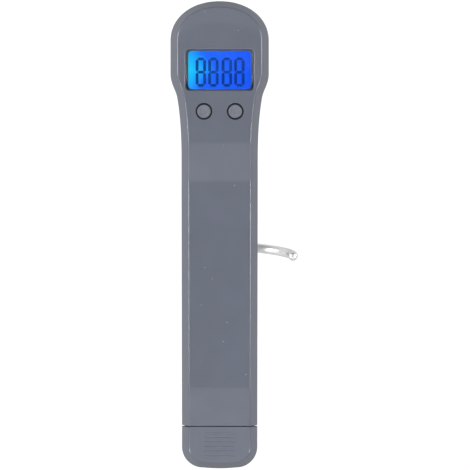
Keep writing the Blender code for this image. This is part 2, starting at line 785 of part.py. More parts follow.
def make_display():
    """Lens, mask, display glass, light guide, light source and contact strip."""
    levels = stack_levels()
    centre = (0.0, WINDOW_CENTRE_Y)
    bm = bmesh.new()
    lens = rounded_rectangle(WINDOW_WIDTH - 2.0 * GAP, WINDOW_HEIGHT - 2.0 * GAP,
                             WINDOW_CORNER - GAP, centre)
    add_plate(bm, lens, *levels["lens"])
    add_object("display_lens", bm, "lens")

    fit = body_guide("stack_fit", whole_body(WALL + GAP))
    bm = bmesh.new()
    add_plate(bm, rounded_rectangle(WINDOW_WIDTH + 1.2, WINDOW_HEIGHT + 1.6, 1.0, centre), *levels["mask"])
    mask = add_object("lcd_holder", bm, "black_plastic")
    combine(mask, fit, "INTERSECT")
    bm = bmesh.new()
    view = rounded_rectangle(VIEW_WIDTH, VIEW_HEIGHT, VIEW_CORNER, (0.0, WINDOW_CENTRE_Y - 0.2))
    add_plate(bm, view, levels["mask"][0] - 1.0, levels["mask"][1] + 1.0)
    combine(mask, add_object("mask_view", bm))

    low, high = levels["lcd"]
    half = VIEW_WIDTH / 2.0 + 0.4
    lower_y = WINDOW_CENTRE_Y - VIEW_HEIGHT / 2.0 - 1.9
    upper_y = WINDOW_CENTRE_Y + VIEW_HEIGHT / 2.0 + 0.6
    bm = bmesh.new()
    add_box(bm, (-half, lower_y, low), (half, upper_y, high))
    glass = add_object("lcd_glass", bm, "lcd")
    combine(glass, fit, "INTERSECT")

    low, high = levels["light"]
    bm = bmesh.new()
    add_box(bm, (-half + 0.5, lower_y + 2.0, low), (half - 0.5, upper_y - 0.6, high))
    add_object("backlight_panel", bm, "diffuser")
    bm = bmesh.new()
    add_box(bm, (-2.0, upper_y - 0.3, BOARD_TOP + GAP), (2.0, upper_y + 1.3, high - 0.4))
    add_object("backlight_led", bm, "lens")
    bm = bmesh.new()
    add_box(bm, (-half + 2.6, lower_y + 0.2, BOARD_TOP + GAP), (half - 2.6, lower_y + 1.6, high))
    add_object("zebra_strip", bm, "rubber")


def make_board():
    """Circuit board, its chip, its screws and the two switches under the buttons."""
    low = BOARD_TOP - BOARD_THICKNESS
    head_x = HEAD_WIDTH / 2.0 - WALL - SIDE_INSET * 0.4 - 2.6
    neck_x = BUTTON_SPACING / 2.0 + 5.5
    lower_y = BUTTON_Y - 8.4
    step_y = WINDOW_CENTRE_Y - WINDOW_HEIGHT / 2.0 + 0.4
    upper_y = WINDOW_CENTRE_Y + WINDOW_HEIGHT / 2.0 + 5.6
    outline = ((-neck_x, lower_y), (neck_x, lower_y), (neck_x, step_y), (head_x, step_y + 3.0),
               (head_x, upper_y), (-head_x, upper_y), (-head_x, step_y + 3.0), (-neck_x, step_y))
    bm = bmesh.new()
    add_plate(bm, outline, low, BOARD_TOP)
    board = add_object("main_pcb", bm, "board")
    bm = bmesh.new()
    for x, y in board_screw_places():
        add_rod(bm, (x, y, low - 1.0), (x, y, BOARD_TOP + 1.0), 1.1, 12)
    combine(board, add_object("board_holes", bm))
    for number, (x, y) in enumerate(board_screw_places(), 1):
        make_screw("pcb_screw_%d" % number, (x, y, low - GAP), (0.0, 0.0, 1.0), (1.7, 1.3), (0.8, 5.2))

    bm = bmesh.new()
    top = low - GAP
    add_turned(bm, (0.0, WINDOW_CENTRE_Y - 4.0, top), (0.0, 0.0, -1.0),
               ((0.0, 5.0), (0.5, 4.9), (1.1, 4.1), (1.5, 2.6), (1.6, 1.0)), 20)
    add_object("chip_blob", bm, "resin")

    for name, side in (("power_switch", -1.0), ("unit_switch", 1.0)):
        x = side * BUTTON_SPACING / 2.0
        bm = bmesh.new()
        base = BOARD_TOP + GAP
        add_box(bm, (x - 3.0, BUTTON_Y - 3.0, base), (x + 3.0, BUTTON_Y + 3.0, base + 2.5))
        switch = add_object(name, bm, "black_plastic")
        bm = bmesh.new()
        add_rod(bm, (x, BUTTON_Y, base + 1.5), (x, BUTTON_Y, base + 3.8), 1.6, 20)
        combine(switch, add_object(name + "_plunger", bm), "UNION")


def make_buttons():
    """Two round buttons with dished tops, each held by a flange under the face."""
    top = HEAD_FACE_HEIGHT + 0.1
    flange_top = HEAD_FACE_HEIGHT - WALL - GAP
    plunger_top = BOARD_TOP + GAP + 3.8
    radius = BUTTON_DIAMETER / 2.0
    stem_low = plunger_top + BUTTON_TRAVEL + 0.1 - top
    profile = ((stem_low, 2.0), (flange_top - 1.0 - top, 2.0),
               (flange_top - 1.0 - top, BUTTON_HOLE / 2.0 + 0.3), (flange_top - top, BUTTON_HOLE / 2.0 + 0.3),
               (flange_top - top, radius), (-0.35, radius), (0.0, radius - 0.35),
               (-0.10, radius - 0.8), (-0.25, radius * 0.35))
    for name, side in (("power_button", -1.0), ("unit_button", 1.0)):
        place = (side * BUTTON_SPACING / 2.0, BUTTON_Y, top)
        bm = bmesh.new()
        add_turned(bm, place, (0.0, 0.0, 1.0), profile, 24)
        add_object(name, bm, "button", origin=place)


# Weighing parts ------------------------------------------------------------------------------
def make_load_cell():
    """Aluminium beam that bends under the hook, with its gauges, plate, bolts and cable."""
    half = CELL_WIDTH / 2.0
    bm = bmesh.new()
    add_box(bm, (-half, CELL_START_Y, CELL_BOTTOM), (half, CELL_END_Y, CELL_TOP))
    cell = add_object("load_cell", bm, "aluminium")
    middle = (CELL_TOP + CELL_BOTTOM) / 2.0
    eye_radius = CELL_HEIGHT / 2.0 - 1.2
    eyes = (9.0, 16.5)
    bm = bmesh.new()
    outline = []
    for centre_y, start in ((eyes[1], -math.pi / 2.0), (eyes[0], math.pi / 2.0)):
        for step in range(13):
            angle = start + math.radians(20.0) + (math.pi - math.radians(40.0)) * step / 12.0
            outline.append((centre_y + eye_radius * math.cos(angle), eye_radius * math.sin(angle)))
        direction = 1.0 if start > 0.0 else -1.0
        waist = 1.0
        outline.append((centre_y + direction * eye_radius * 0.75, -waist * direction))
    add_plate(bm, outline, -half - 1.0, half + 1.0)
    bmesh.ops.transform(bm, matrix=Matrix.Translation((0.0, 0.0, middle)) @ ACROSS, verts=bm.verts)
    bolt_hole = BOLT_DIAMETER / 2.0 + GAP
    for y in bolt_places():
        add_rod(bm, (0.0, y, CELL_BOTTOM + 2.0), (0.0, y, CELL_TOP + 2.0), bolt_hole, 16)
    add_rod(bm, (-half - 1.0, 0.0, PIVOT_Z), (half + 1.0, 0.0, PIVOT_Z), PIN + GAP, 24)
    combine(cell, add_object("cell_cuts", bm))

    for name, y in (("strain_gauge_front", eyes[0]), ("strain_gauge_rear", eyes[1])):
        bm = bmesh.new()
        add_box(bm, (-2.0, y - 2.0, CELL_TOP + GAP), (2.0, y + 2.0, CELL_TOP + GAP + 0.25))
        add_object(name, bm, "foil")

    low = CELL_TOP + 0.5
    high = low + PLATE_THICKNESS
    plate_x = ear_outer() + 4.8
    bm = bmesh.new()
    add_box(bm, (-plate_x, PLATE_START_Y, low), (plate_x, CELL_END_Y - 1.5, high))
    plate = add_object("chassis_plate", bm, "steel")
    bm = bmesh.new()
    for y in bolt_places():
        add_rod(bm, (0.0, y, low - 1.0), (0.0, y, high + 1.0), bolt_hole, 16)
    combine(plate, add_object("plate_holes", bm))
    for number, y in enumerate(bolt_places(), 1):
        make_screw("cell_bolt_%d" % number, (0.0, y, high + GAP), (0.0, 0.0, -1.0), (2.75, 1.9),
                   (BOLT_DIAMETER / 2.0, 7.5))


def bolt_places():
    """Y of the two bolts through the plate into the load cell."""
    return PLATE_START_Y + 5.0, PLATE_START_Y + 14.5


def make_pin():
    """Headed pin through the stirrup and the load cell, held by a clip in its groove."""
    clip_x = ear_outer() + GAP
    clip = 0.8
    end_x = clip_x + clip + 1.3
    profile = ((-clip_x - 1.8, PIN + 0.6), (-clip_x - 1.4, PIN + 1.0), (-clip_x, PIN + 1.0),
               (-clip_x, PIN), (end_x - 0.4, PIN), (end_x, PIN - 0.4))
    bm = bmesh.new()
    add_turned(bm, (0.0, 0.0, PIVOT_Z), (1.0, 0.0, 0.0), profile, 24)
    add_object("pivot_pin", bm, "steel", origin=(0.0, 0.0, PIVOT_Z))
    outline = []
    for step in range(19):
        angle = math.radians(-60.0 + 300.0 * step / 18.0)
        outline.append((math.cos(angle) * (PIN + 1.9), math.sin(angle) * (PIN + 1.9)))
    for step in range(19):
        angle = math.radians(240.0 - 300.0 * step / 18.0)
        outline.append((math.cos(angle) * (PIN + GAP), math.sin(angle) * (PIN + GAP)))
    bm = bmesh.new()
    add_plate(bm, outline, 0.0, clip)
    place = Matrix.Translation((clip_x, 0.0, PIVOT_Z)) @ ACROSS
    bmesh.ops.transform(bm, matrix=place, verts=bm.verts)
    add_object("e_clip", bm, "steel")


# Hook, in a frame whose origin is the pin and whose -Z runs down the shank -------------------
def make_stirrup(parent):
    """U-shaped link that swings on the pin and carries the hook's swivel."""
    inner = ear_inner()
    outer = ear_outer()
    half = EAR_LENGTH / 2.0
    profile = []
    for step in range(13):
        angle = math.pi * step / 12.0
        profile.append((half * math.cos(angle), half * math.sin(angle)))
    profile.append((-half, -STIRRUP_DROP))
    profile.append((half, -STIRRUP_DROP))
    bm = bmesh.new()
    add_plate(bm, profile, -outer, outer)
    bmesh.ops.transform(bm, matrix=ACROSS, verts=bm.verts)
    stirrup = add_object("hook_stirrup", bm, "steel", parent)
    floor = STIRRUP_BASE - STIRRUP_DROP
    bm = bmesh.new()
    add_box(bm, (-inner, -half - 3.0, floor), (inner, half + 3.0, half + 3.0))
    space = add_object("stirrup_space", bm, parent=parent)
    combine(stirrup, space)
    bm = bmesh.new()
    add_rod(bm, (-outer - 1.0, 0.0, 0.0), (outer + 1.0, 0.0, 0.0), PIN + GAP)
    add_rod(bm, (0.0, 0.0, -STIRRUP_DROP - 1.0), (0.0, 0.0, floor + 1.0), WIRE + GAP)
    combine(stirrup, add_object("stirrup_holes", bm, parent=parent))


def ring_mesh(low, high, inner, outer, sides, inner_sides=24):
    """Give a flat ring or nut around Z, with its bore."""
    bm = bmesh.new()
    add_rod(bm, (0.0, 0.0, low), (0.0, 0.0, high), outer, sides)
    bore = bmesh.new()
    add_rod(bore, (0.0, 0.0, low - 1.0), (0.0, 0.0, high + 1.0), inner, inner_sides)
    return bm, bore


def make_swivel(parent):
    """Washer and nut that hold the hook in the stirrup, and the bent wire hook."""
    washer_low = STIRRUP_BASE - STIRRUP_DROP + GAP
    nut_low = washer_low + WASHER_THICKNESS + GAP
    nut_corner = NUT_WIDTH / 2.0 / math.cos(math.pi / 6.0)
    for name, low, high, outer, sides in (
            ("hook_washer", washer_low, washer_low + WASHER_THICKNESS, WASHER_DIAMETER / 2.0, 24),
            ("hook_nut", nut_low, nut_low + NUT_HEIGHT, nut_corner, 6)):
        body, bore = ring_mesh(low, high, WIRE + GAP, outer, sides)
        ring = add_object(name, body, "steel", parent)
        combine(ring, add_object(name + "_bore", bore, parent=parent))

    points = []
    radii = []
    shank_top = nut_low + NUT_HEIGHT + 0.5
    for z, radius in ((shank_top, WIRE - 0.5), (shank_top - 0.5, WIRE), (-HOOK_SHANK_DROP + 12.0, WIRE)):
        points.append(Vector((0.0, 0.0, z)))
        radii.append(radius)
    bend_steps = 22
    for step in range(bend_steps + 1):
        angle = math.pi + math.pi * step / bend_steps
        x = HOOK_BEND_RADIUS * (1.0 + math.cos(angle))
        points.append(Vector((x, 0.0, -HOOK_SHANK_DROP + HOOK_BEND_RADIUS * math.sin(angle))))
        radii.append(WIRE)
    ball = WIRE * 1.04
    ball_z = -HOOK_SHANK_DROP + HOOK_TIP_RISE - ball
    for step in range(7):
        angle = math.pi / 2.0 * (step / 6.0) * 0.94
        points.append(Vector((2.0 * HOOK_BEND_RADIUS, 0.0, ball_z + ball * math.sin(angle))))
        radii.append(ball * math.cos(angle))
    bm = bmesh.new()
    add_sweep(bm, points, radii, 16)
    add_object("hook", bm, "steel", parent)


# Battery compartment -------------------------------------------------------------------------
def make_tray():
    """Cradle for two cells side by side, closed at the end next to the contacts."""
    x = battery_x()
    bore = BATTERY_DIAMETER / 2.0 + GAP
    wall = 1.0
    outer = x + bore + wall - 0.25
    start_y = SEAM_Y + SKIRT_LENGTH + 0.5
    end_y = tray_wall_y() + 1.5
    bm = bmesh.new()
    add_box(bm, (-outer, start_y, CELL_CENTRE_Z - 2.0), (outer, end_y, CELL_CENTRE_Z + 5.0))
    tray = add_object("battery_tray", bm, "black_plastic")
    bm = bmesh.new()
    for side in (-1.0, 1.0):
        add_rod(bm, (side * x, start_y - 3.0, CELL_CENTRE_Z), (side * x, tray_wall_y(), CELL_CENTRE_Z),
                bore, 32)
    combine(tray, add_object("tray_bores", bm))
    combine(tray, body_guide("tray_fit", whole_body(WALL + GAP)), "INTERSECT")


def make_batteries():
    """Two AAA cells, laid head to tail."""
    radius = BATTERY_DIAMETER / 2.0
    length = BATTERY_LENGTH - BATTERY_NUB
    profile = ((0.0, radius - 0.5), (0.3, radius), (length - 0.5, radius), (length, radius - 0.5),
               (length, 1.9), (BATTERY_LENGTH, 1.9))
    for name, side in (("battery_1", 1.0), ("battery_2", -1.0)):
        lower, upper = battery_span(side)
        start = lower if side > 0.0 else upper
        bm = bmesh.new()
        add_turned(bm, (side * battery_x(), start, CELL_CENTRE_Z), (0.0, side, 0.0), profile, 24)
        add_object(name, bm, "battery")


def spring_mesh(centre_x, base_y, tip_y, wire, first, last, turns):
    """Give a conical spring around Y that stands on one level and reaches another."""
    steps = 12 * turns
    points = []
    for step in range(steps + 1):
        share = step / steps
        angle = share * turns * 2.0 * math.pi
        radius = first + (last - first) * share
        y = base_y + (tip_y - base_y) * share
        points.append(Vector((centre_x + radius * math.cos(angle), y,
                              CELL_CENTRE_Z + radius * math.sin(angle))))
    bm = bmesh.new()
    add_sweep(bm, points, [wire] * len(points), 5)
    return bm


def make_contacts():
    """Plates and springs at both ends of the cells, and the leads to the board."""
    wire = 0.25
    plate_low = tray_wall_y() - GAP - CONTACT_THICKNESS
    plate_high = plate_low + CONTACT_THICKNESS
    half = 3.6
    tab_top = CELL_CENTRE_Z + 7.0
    for name, side in (("contact_plus", 1.0), ("contact_minus", -1.0)):
        x = side * battery_x()
        bm = bmesh.new()
        outline = ((x - half, CELL_CENTRE_Z - half), (x + half, CELL_CENTRE_Z - half),
                   (x + half, CELL_CENTRE_Z + half), (x + 1.2, CELL_CENTRE_Z + half),
                   (x + 1.2, tab_top), (x - 1.2, tab_top),
                   (x - 1.2, CELL_CENTRE_Z + half), (x - half, CELL_CENTRE_Z + half))
        add_plate(bm, outline, 0.0, CONTACT_THICKNESS)
        bmesh.ops.transform(bm, matrix=Matrix.Translation((0.0, plate_low, 0.0)) @ UPRIGHT, verts=bm.verts)
        add_object(name, bm, "nickel")
    minus_end = battery_span(-1)[1]
    bm = spring_mesh(-battery_x(), plate_low - GAP - wire, minus_end + GAP + wire, wire, 3.4, 1.8, 2)
    add_object("minus_spring", bm, "nickel")

    bridge_low = SEAM_Y - 0.4 + GAP
    bridge_high = bridge_low + CONTACT_THICKNESS
    reach = battery_x() + half
    bm = bmesh.new()
    add_box(bm, (-reach, bridge_low, CELL_CENTRE_Z - half), (reach, bridge_high, CELL_CENTRE_Z + half))
    add_object("bridge_contact", bm, "nickel")
    spring_end = battery_span(1)[0]
    bm = spring_mesh(battery_x(), bridge_high + GAP + wire, spring_end - GAP - wire, wire, 3.4, 1.8, 2)
    add_object("bridge_spring", bm, "nickel")

    board_low = BOARD_TOP - BOARD_THICKNESS
    board_y = BUTTON_Y - 8.4
    for name, side, look in (("lead_red", 1.0, "red_wire"), ("lead_black", -1.0, "black_wire")):
        x = side * battery_x()
        lane = side * (ear_inner() - 0.1)
        route = ((x, plate_high + GAP + 0.3, tab_top - 0.7), (x, plate_high + 5.0, tab_top + 0.6),
                 (lane, plate_high + 16.6, 3.8), (lane, 14.0, 4.2), (lane, CELL_END_Y - 6.0, 4.0),
                 (lane, board_y - 3.0, board_low - GAP - 0.9), (lane, board_y + 2.0, board_low - GAP - 0.7))
        add_lead(name, route, 0.6, look)
    route = ((3.0, 16.0, CELL_TOP + 1.3), (3.3, 19.0, CELL_TOP + 2.0), (3.9, PLATE_START_Y, 1.0),
             (3.9, 32.0, 1.6), (3.9, CELL_END_Y, 1.9), (3.0, board_y, 2.5),
             (2.0, board_y + 3.0, board_low - GAP - 0.6))
    add_lead("sensor_cable", route, 0.6, "grey_wire")


def add_lead(name, route, radius, look):
    """Lay a wire on a smooth route through the given points."""
    points = smooth_path(route, 3)
    bm = bmesh.new()
    add_sweep(bm, points, [radius] * len(points), 6)
    add_object(name, bm, look)


def make_scale():
    """Build every piece of the scale."""
    make_front_shell()
    make_back_shell()
    make_end_cap()
    make_slot_trim()
    make_case_screws()
    make_display()
    make_board()
    make_buttons()
    make_load_cell()
    make_pin()
    pivot = bpy.data.objects.new("hook_pivot", None)
    pivot.location = Vector((0.0, 0.0, PIVOT_Z)) * MM
    pivot.rotation_euler = (math.radians(REST_SWING), 0.0, 0.0)
    swivel = bpy.data.objects.new("hook_swivel_axis", None)
    swivel.rotation_euler = (0.0, 0.0, math.radians(REST_SWIVEL))
    swivel.parent = pivot
    for empty in (pivot, swivel):
        bpy.context.scene.collection.objects.link(empty)
    make_stirrup(pivot)
    make_swivel(swivel)
    make_tray()
    make_batteries()
    make_contacts()


make_scale()
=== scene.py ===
import math

import bmesh
import bpy
from mathutils import Matrix, Vector


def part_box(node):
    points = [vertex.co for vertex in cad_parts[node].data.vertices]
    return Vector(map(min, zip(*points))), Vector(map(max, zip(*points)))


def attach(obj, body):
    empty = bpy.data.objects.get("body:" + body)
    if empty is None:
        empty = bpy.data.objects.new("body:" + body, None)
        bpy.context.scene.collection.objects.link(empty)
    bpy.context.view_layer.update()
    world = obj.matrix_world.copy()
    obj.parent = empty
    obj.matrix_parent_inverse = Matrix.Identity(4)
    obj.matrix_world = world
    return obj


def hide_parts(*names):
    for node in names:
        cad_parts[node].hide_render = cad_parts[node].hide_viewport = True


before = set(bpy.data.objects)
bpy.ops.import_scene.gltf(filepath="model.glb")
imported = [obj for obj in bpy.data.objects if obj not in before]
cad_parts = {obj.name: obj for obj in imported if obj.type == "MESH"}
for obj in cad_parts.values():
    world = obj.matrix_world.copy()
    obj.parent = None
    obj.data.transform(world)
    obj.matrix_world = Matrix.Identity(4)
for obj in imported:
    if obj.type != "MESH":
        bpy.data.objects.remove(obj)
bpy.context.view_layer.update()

mm = 0.001
print("frame loaded:", len(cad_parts), "nodes")


def spanOf(node):
    low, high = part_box(node)
    return Vector(low) / mm, Vector(high) / mm   # lowest and highest corner, in millimetres


shellLow, shellHigh = spanOf("front_shell")
backLow = spanOf("back_shell")[0]
capLow, capHigh = spanOf("end_cap")
lensLow, lensHigh = spanOf("display_lens")
glassLow, glassHigh = spanOf("lcd_glass")
unitLow, unitHigh = spanOf("unit_button")
trimLow, trimHigh = spanOf("slot_trim")


def meshFrom(name, bm):
    mesh = bpy.data.meshes.new(name)
    bm.to_mesh(mesh)
    bm.free()
    return mesh


def placeObject(name, data):
    made = bpy.data.objects.new(name, data)
    bpy.context.scene.collection.objects.link(made)
    return made


# ---- short ways to add shader nodes

def feed(tree, socket, value):
    # a number or a colour is set, and an output is linked
    if isinstance(value, (int, float, tuple)):
        socket.default_value = value
    else:
        tree.links.new(value, socket)


def addNode(tree, kind, inputs=None, **settings):
    node = tree.nodes.new("ShaderNode" + kind)
    for label, value in settings.items():
        setattr(node, label, value)
    for key, value in (inputs or {}).items():
        feed(tree, node.inputs[key], value)
    return node


def addMath(tree, operation, first, second=0.0):
    return addNode(tree, "Math", {0: first, 1: second}, operation=operation).outputs[0]


def addMix(tree, factor, first, second, blend="MIX"):
    return addNode(tree, "Mix", {0: factor, 6: first, 7: second}, data_type="RGBA", blend_type=blend).outputs[2]


def addNoise(tree, vector, scale, detail=2.0, roughness=0.5):
    inputs = {"Vector": vector, "Scale": scale, "Detail": detail, "Roughness": roughness}
    return addNode(tree, "TexNoise", inputs).outputs["Fac"]


def addRange(tree, value, fromMin, fromMax, toMin=0.0, toMax=1.0, smooth=False):
    inputs = {"Value": value, "From Min": fromMin, "From Max": fromMax, "To Min": toMin, "To Max": toMax}
    kind = "SMOOTHSTEP" if smooth else "LINEAR"
    return addNode(tree, "MapRange", inputs, interpolation_type=kind).outputs["Result"]


# ---- camera, floor and light

view = {"x": 6.4, "y": 10.1, "planeZ": 4.0, "distance": 2500.0, "frameWidth": 195.7, "sensor": 36.0}
light = {"floorDrop": 260.0, "floorColour": 0.30, "floorGlow": 0.74, "slot": 0.08, "footSide": 1.50,
         "headSide": 1.15, "slotHalf": 0.05, "slotFade": 0.12, "horizon": 0.30, "leftShare": 0.38,
         "sideStrength": 46.0, "footStrength": 4.5, "lampHeight": 1.0, "lampReach": 1.7, "lampTall": 0.50,
         "strips": (("Middle", 0.07, 0.26, 1.0), ("Shoulder", -0.74, 0.44, 0.9), ("Dome", 0.55, 0.60, 0.8))}


def makeCamera():
    camera = bpy.data.cameras.new("productCamera")
    camera.sensor_width = view["sensor"]
    camera.lens = view["sensor"] * view["distance"] / view["frameWidth"]
    camera.clip_start = 0.05
    camera.clip_end = 50.0
    holder = placeObject("productCamera", camera)
    holder.location = Vector((view["x"], view["y"], view["planeZ"] + view["distance"])) * mm
    bpy.context.scene.camera = holder


def makeFloor():
    bm = bmesh.new()
    bmesh.ops.create_grid(bm, x_segments=2, y_segments=2, size=4.0)
    floor = placeObject("floor", meshFrom("floor", bm))
    floor.location.z = (backLow.z - light["floorDrop"]) * mm
    made = bpy.data.materials.new("paleFloor")
    made.use_nodes = True
    tree = made.node_tree
    tree.nodes.clear()
    diffuse = addNode(tree, "BsdfDiffuse", {"Color": (light["floorColour"],) * 3 + (1.0,)}).outputs[0]
    glow = addNode(tree, "Emission", {"Strength": light["floorGlow"]}).outputs[0]
    both = addNode(tree, "AddShader", {0: diffuse, 1: glow}).outputs[0]
    paths = addNode(tree, "LightPath").outputs
    seen = addMath(tree, "MAXIMUM", paths["Is Camera Ray"], paths["Is Glossy Ray"])
    seen = addMath(tree, "MAXIMUM", seen, paths["Is Transmission Ray"])
    pick = addNode(tree, "MixShader", {0: seen, 1: diffuse, 2: both}).outputs[0]
    addNode(tree, "OutputMaterial", {"Surface": pick})
    floor.data.materials.append(made)


def makeWorld():
    # the tent has a dark slot overhead from side to side, is brightest at the foot and fades to the horizon
    world = bpy.data.worlds.new("softTent")
    bpy.context.scene.world = world
    world.use_nodes = True
    tree = world.node_tree
    tree.nodes.clear()
    coords = addNode(tree, "TexCoord").outputs["Generated"]
    parts = addNode(tree, "SeparateXYZ", {0: coords}).outputs
    half, fade, slot, left = light["slotHalf"], light["slotFade"], light["slot"], light["leftShare"]
    foot = addRange(tree, parts["Y"], -half, -fade, 0.0, light["footSide"] - slot, True)
    head = addRange(tree, parts["Y"], half, fade, 0.0, light["headSide"] - slot, True)
    total = addMath(tree, "ADD", addMath(tree, "ADD", foot, head), slot)
    height = addRange(tree, parts["Z"], 0.2, 0.97, light["horizon"], 1.0, True)
    across = addRange(tree, parts["X"], -1.0, 1.0, 1.0 + left, 1.0 - left)
    strength = addMath(tree, "MULTIPLY", addMath(tree, "MULTIPLY", total, height), across)
    sky = addNode(tree, "Background", {"Color": (0.96, 0.98, 1.0, 1.0), "Strength": strength}).outputs[0]
    seen = addNode(tree, "Background", {"Strength": 1.0}).outputs[0]
    isCamera = addNode(tree, "LightPath").outputs["Is Camera Ray"]
    pick = addNode(tree, "MixShader", {0: isCamera, 1: sky, 2: seen}).outputs[0]
    addNode(tree, "OutputWorld", {"Surface": pick})


def addLamp(name, place, aim, size, power):
    lamp = bpy.data.lights.new(name, "AREA")
    lamp.shape = "RECTANGLE"
    lamp.size, lamp.size_y = size
    lamp.energy = power
    holder = placeObject(name, lamp)
    holder.location = place
    holder.rotation_euler = (Vector(aim) - Vector(place)).to_track_quat("-Z", "Y").to_euler()
    return holder


def makeLamps():
    height, reach, tall = light["lampHeight"], light["lampReach"], light["lampTall"]
    for side, name in ((-1.0, "left"), (1.0, "right")):
        for label, y, length, share in light["strips"]:
            lamp = addLamp(name + label, (side * reach, y, height), (0.0, y, 0.0), (length, tall),
                           light["sideStrength"] * length * share)
            lamp.visible_diffuse = label == "Middle"   # the others only shine on edges
    foot = addLamp("foot", (0.0, -reach, height), (0.0, 0.0, 0.0), (0.8, 0.3), light["footStrength"])
    foot.visible_diffuse = False


bpy.context.scene.view_settings.view_transform = "Standard"
makeCamera()
makeWorld()
makeFloor()
makeLamps()
print("camera, floor and light ready")


# ---- shared shader effects

def newGroup(name, inputs):
    tree = bpy.data.node_groups.new(name, "ShaderNodeTree")
    tree.interface.new_socket("Vector", in_out="INPUT", socket_type="NodeSocketVector")
    for label, value in inputs.items():
        tree.interface.new_socket(label, in_out="INPUT", socket_type="NodeSocketFloat").default_value = value
    return tree, tree.nodes.new("NodeGroupInput").outputs


def closeGroup(tree, results):
    for label in results:
        tree.interface.new_socket(label, in_out="OUTPUT", socket_type="NodeSocketFloat")
    leave = tree.nodes.new("NodeGroupOutput")
    for label, value in results.items():
        tree.links.new(value, leave.inputs[label])
    return tree


def buildMouldGrain():
    # fine eroded texture of a mould: a height for the bump, a patchy tone and a change of roughness
    tree, enter = newGroup("mouldGrain", {"Scale": 1800.0, "Flow": 90.0})
    vector, scale = enter["Vector"], enter["Scale"]
    fine = addNoise(tree, vector, scale, 3.0, 0.65)
    pits = addNode(tree, "TexVoronoi", {"Vector": vector, "Scale": scale}, feature="SMOOTH_F1").outputs
    depth = addRange(tree, pits["Distance"], 0.0, 0.8)
    height = addMath(tree, "ADD", addMath(tree, "MULTIPLY", depth, 0.5), fine)
    flow = addNoise(tree, vector, enter["Flow"], 4.0, 0.55)
    return closeGroup(tree, {"Height": height, "Tone": flow, "Rough": addRange(tree, fine, 0.3, 0.7)})


def buildDust():
    # scattered pale specks of a few hundredths to two tenths of a millimetre
    tree, enter = newGroup("dustSpecks", {"Scale": 700.0, "Size": 0.16, "Share": 0.12})
    cells = addNode(tree, "TexVoronoi", {"Vector": enter["Vector"], "Scale": enter["Scale"]}).outputs
    split = addNode(tree, "SeparateColor", {0: cells["Color"]}).outputs
    chosen = addMath(tree, "LESS_THAN", split[0], enter["Share"])
    near = addMath(tree, "LESS_THAN", cells["Distance"], addMath(tree, "MULTIPLY", split[1], enter["Size"]))
    fade = addRange(tree, split[2], 0.0, 1.0, 0.25, 1.0)
    return closeGroup(tree, {"Mask": addMath(tree, "MULTIPLY", addMath(tree, "MULTIPLY", chosen, near), fade)})


def buildEdgeWear():
    # outer edges, where handling polishes and pales the surface
    tree, enter = newGroup("edgeWear", {"Radius": 0.0004, "Breakup": 400.0})
    normal = addNode(tree, "NewGeometry").outputs["Normal"]
    eased = addNode(tree, "Bevel", {"Radius": enter["Radius"]}, samples=4).outputs["Normal"]
    dot = addNode(tree, "VectorMath", {0: normal, 1: eased}, operation="DOT_PRODUCT").outputs["Value"]
    rub = addNoise(tree, enter["Vector"], enter["Breakup"], 3.0, 0.6)
    broken = addRange(tree, rub, 0.35, 0.65, 0.3, 1.0)
    return closeGroup(tree, {"Mask": addMath(tree, "MULTIPLY", addRange(tree, dot, 0.995, 0.90), broken)})


def buildDrawnLines():
    # long fine lines along one axis, as drawing and turning leave on metal
    tree, enter = newGroup("drawnLines", {"Across": 5000.0, "Along": 60.0})
    vector, across = enter["Vector"], enter["Across"]
    stretch = addNode(tree, "CombineXYZ", {0: across, 1: across, 2: enter["Along"]}).outputs[0]
    scaled = addNode(tree, "VectorMath", {0: vector, 1: stretch}, operation="MULTIPLY").outputs[0]
    return closeGroup(tree, {"Height": addNoise(tree, scaled, 1.0, 4.0, 0.7),
                             "Tone": addNoise(tree, vector, 220.0, 3.0, 0.5)})


mouldGrain = buildMouldGrain()
dustSpecks = buildDust()
edgeWear = buildEdgeWear()
drawnLines = buildDrawnLines()


def placeGroup(tree, group, vector, **values):
    return addNode(tree, "Group", {"Vector": vector, **values}, node_tree=group).outputs


def startMaterial(name, roughness, metallic=0.0, **sockets):
    made = bpy.data.materials.new(name)
    made.use_nodes = True
    tree = made.node_tree
    shader = tree.nodes["Principled BSDF"].inputs
    shader["Roughness"].default_value = roughness
    shader["Metallic"].default_value = metallic
    for label, value in sockets.items():
        shader[label.replace("_", " ")].default_value = value
    return made, tree, shader, addNode(tree, "TexCoord").outputs["Object"]


def addBump(tree, shader, height, distance, strength=1.0):
    bump = addNode(tree, "Bump", {"Strength": strength, "Distance": distance, "Height": height})
    feed(tree, shader["Normal"], bump.outputs["Normal"])


def shade(colour, factor=1.0):
    return tuple(min(channel * factor, 1.0) for channel in colour) + (1.0,)


# ---- materials

dustColour = (0.62, 0.63, 0.66, 1.0)


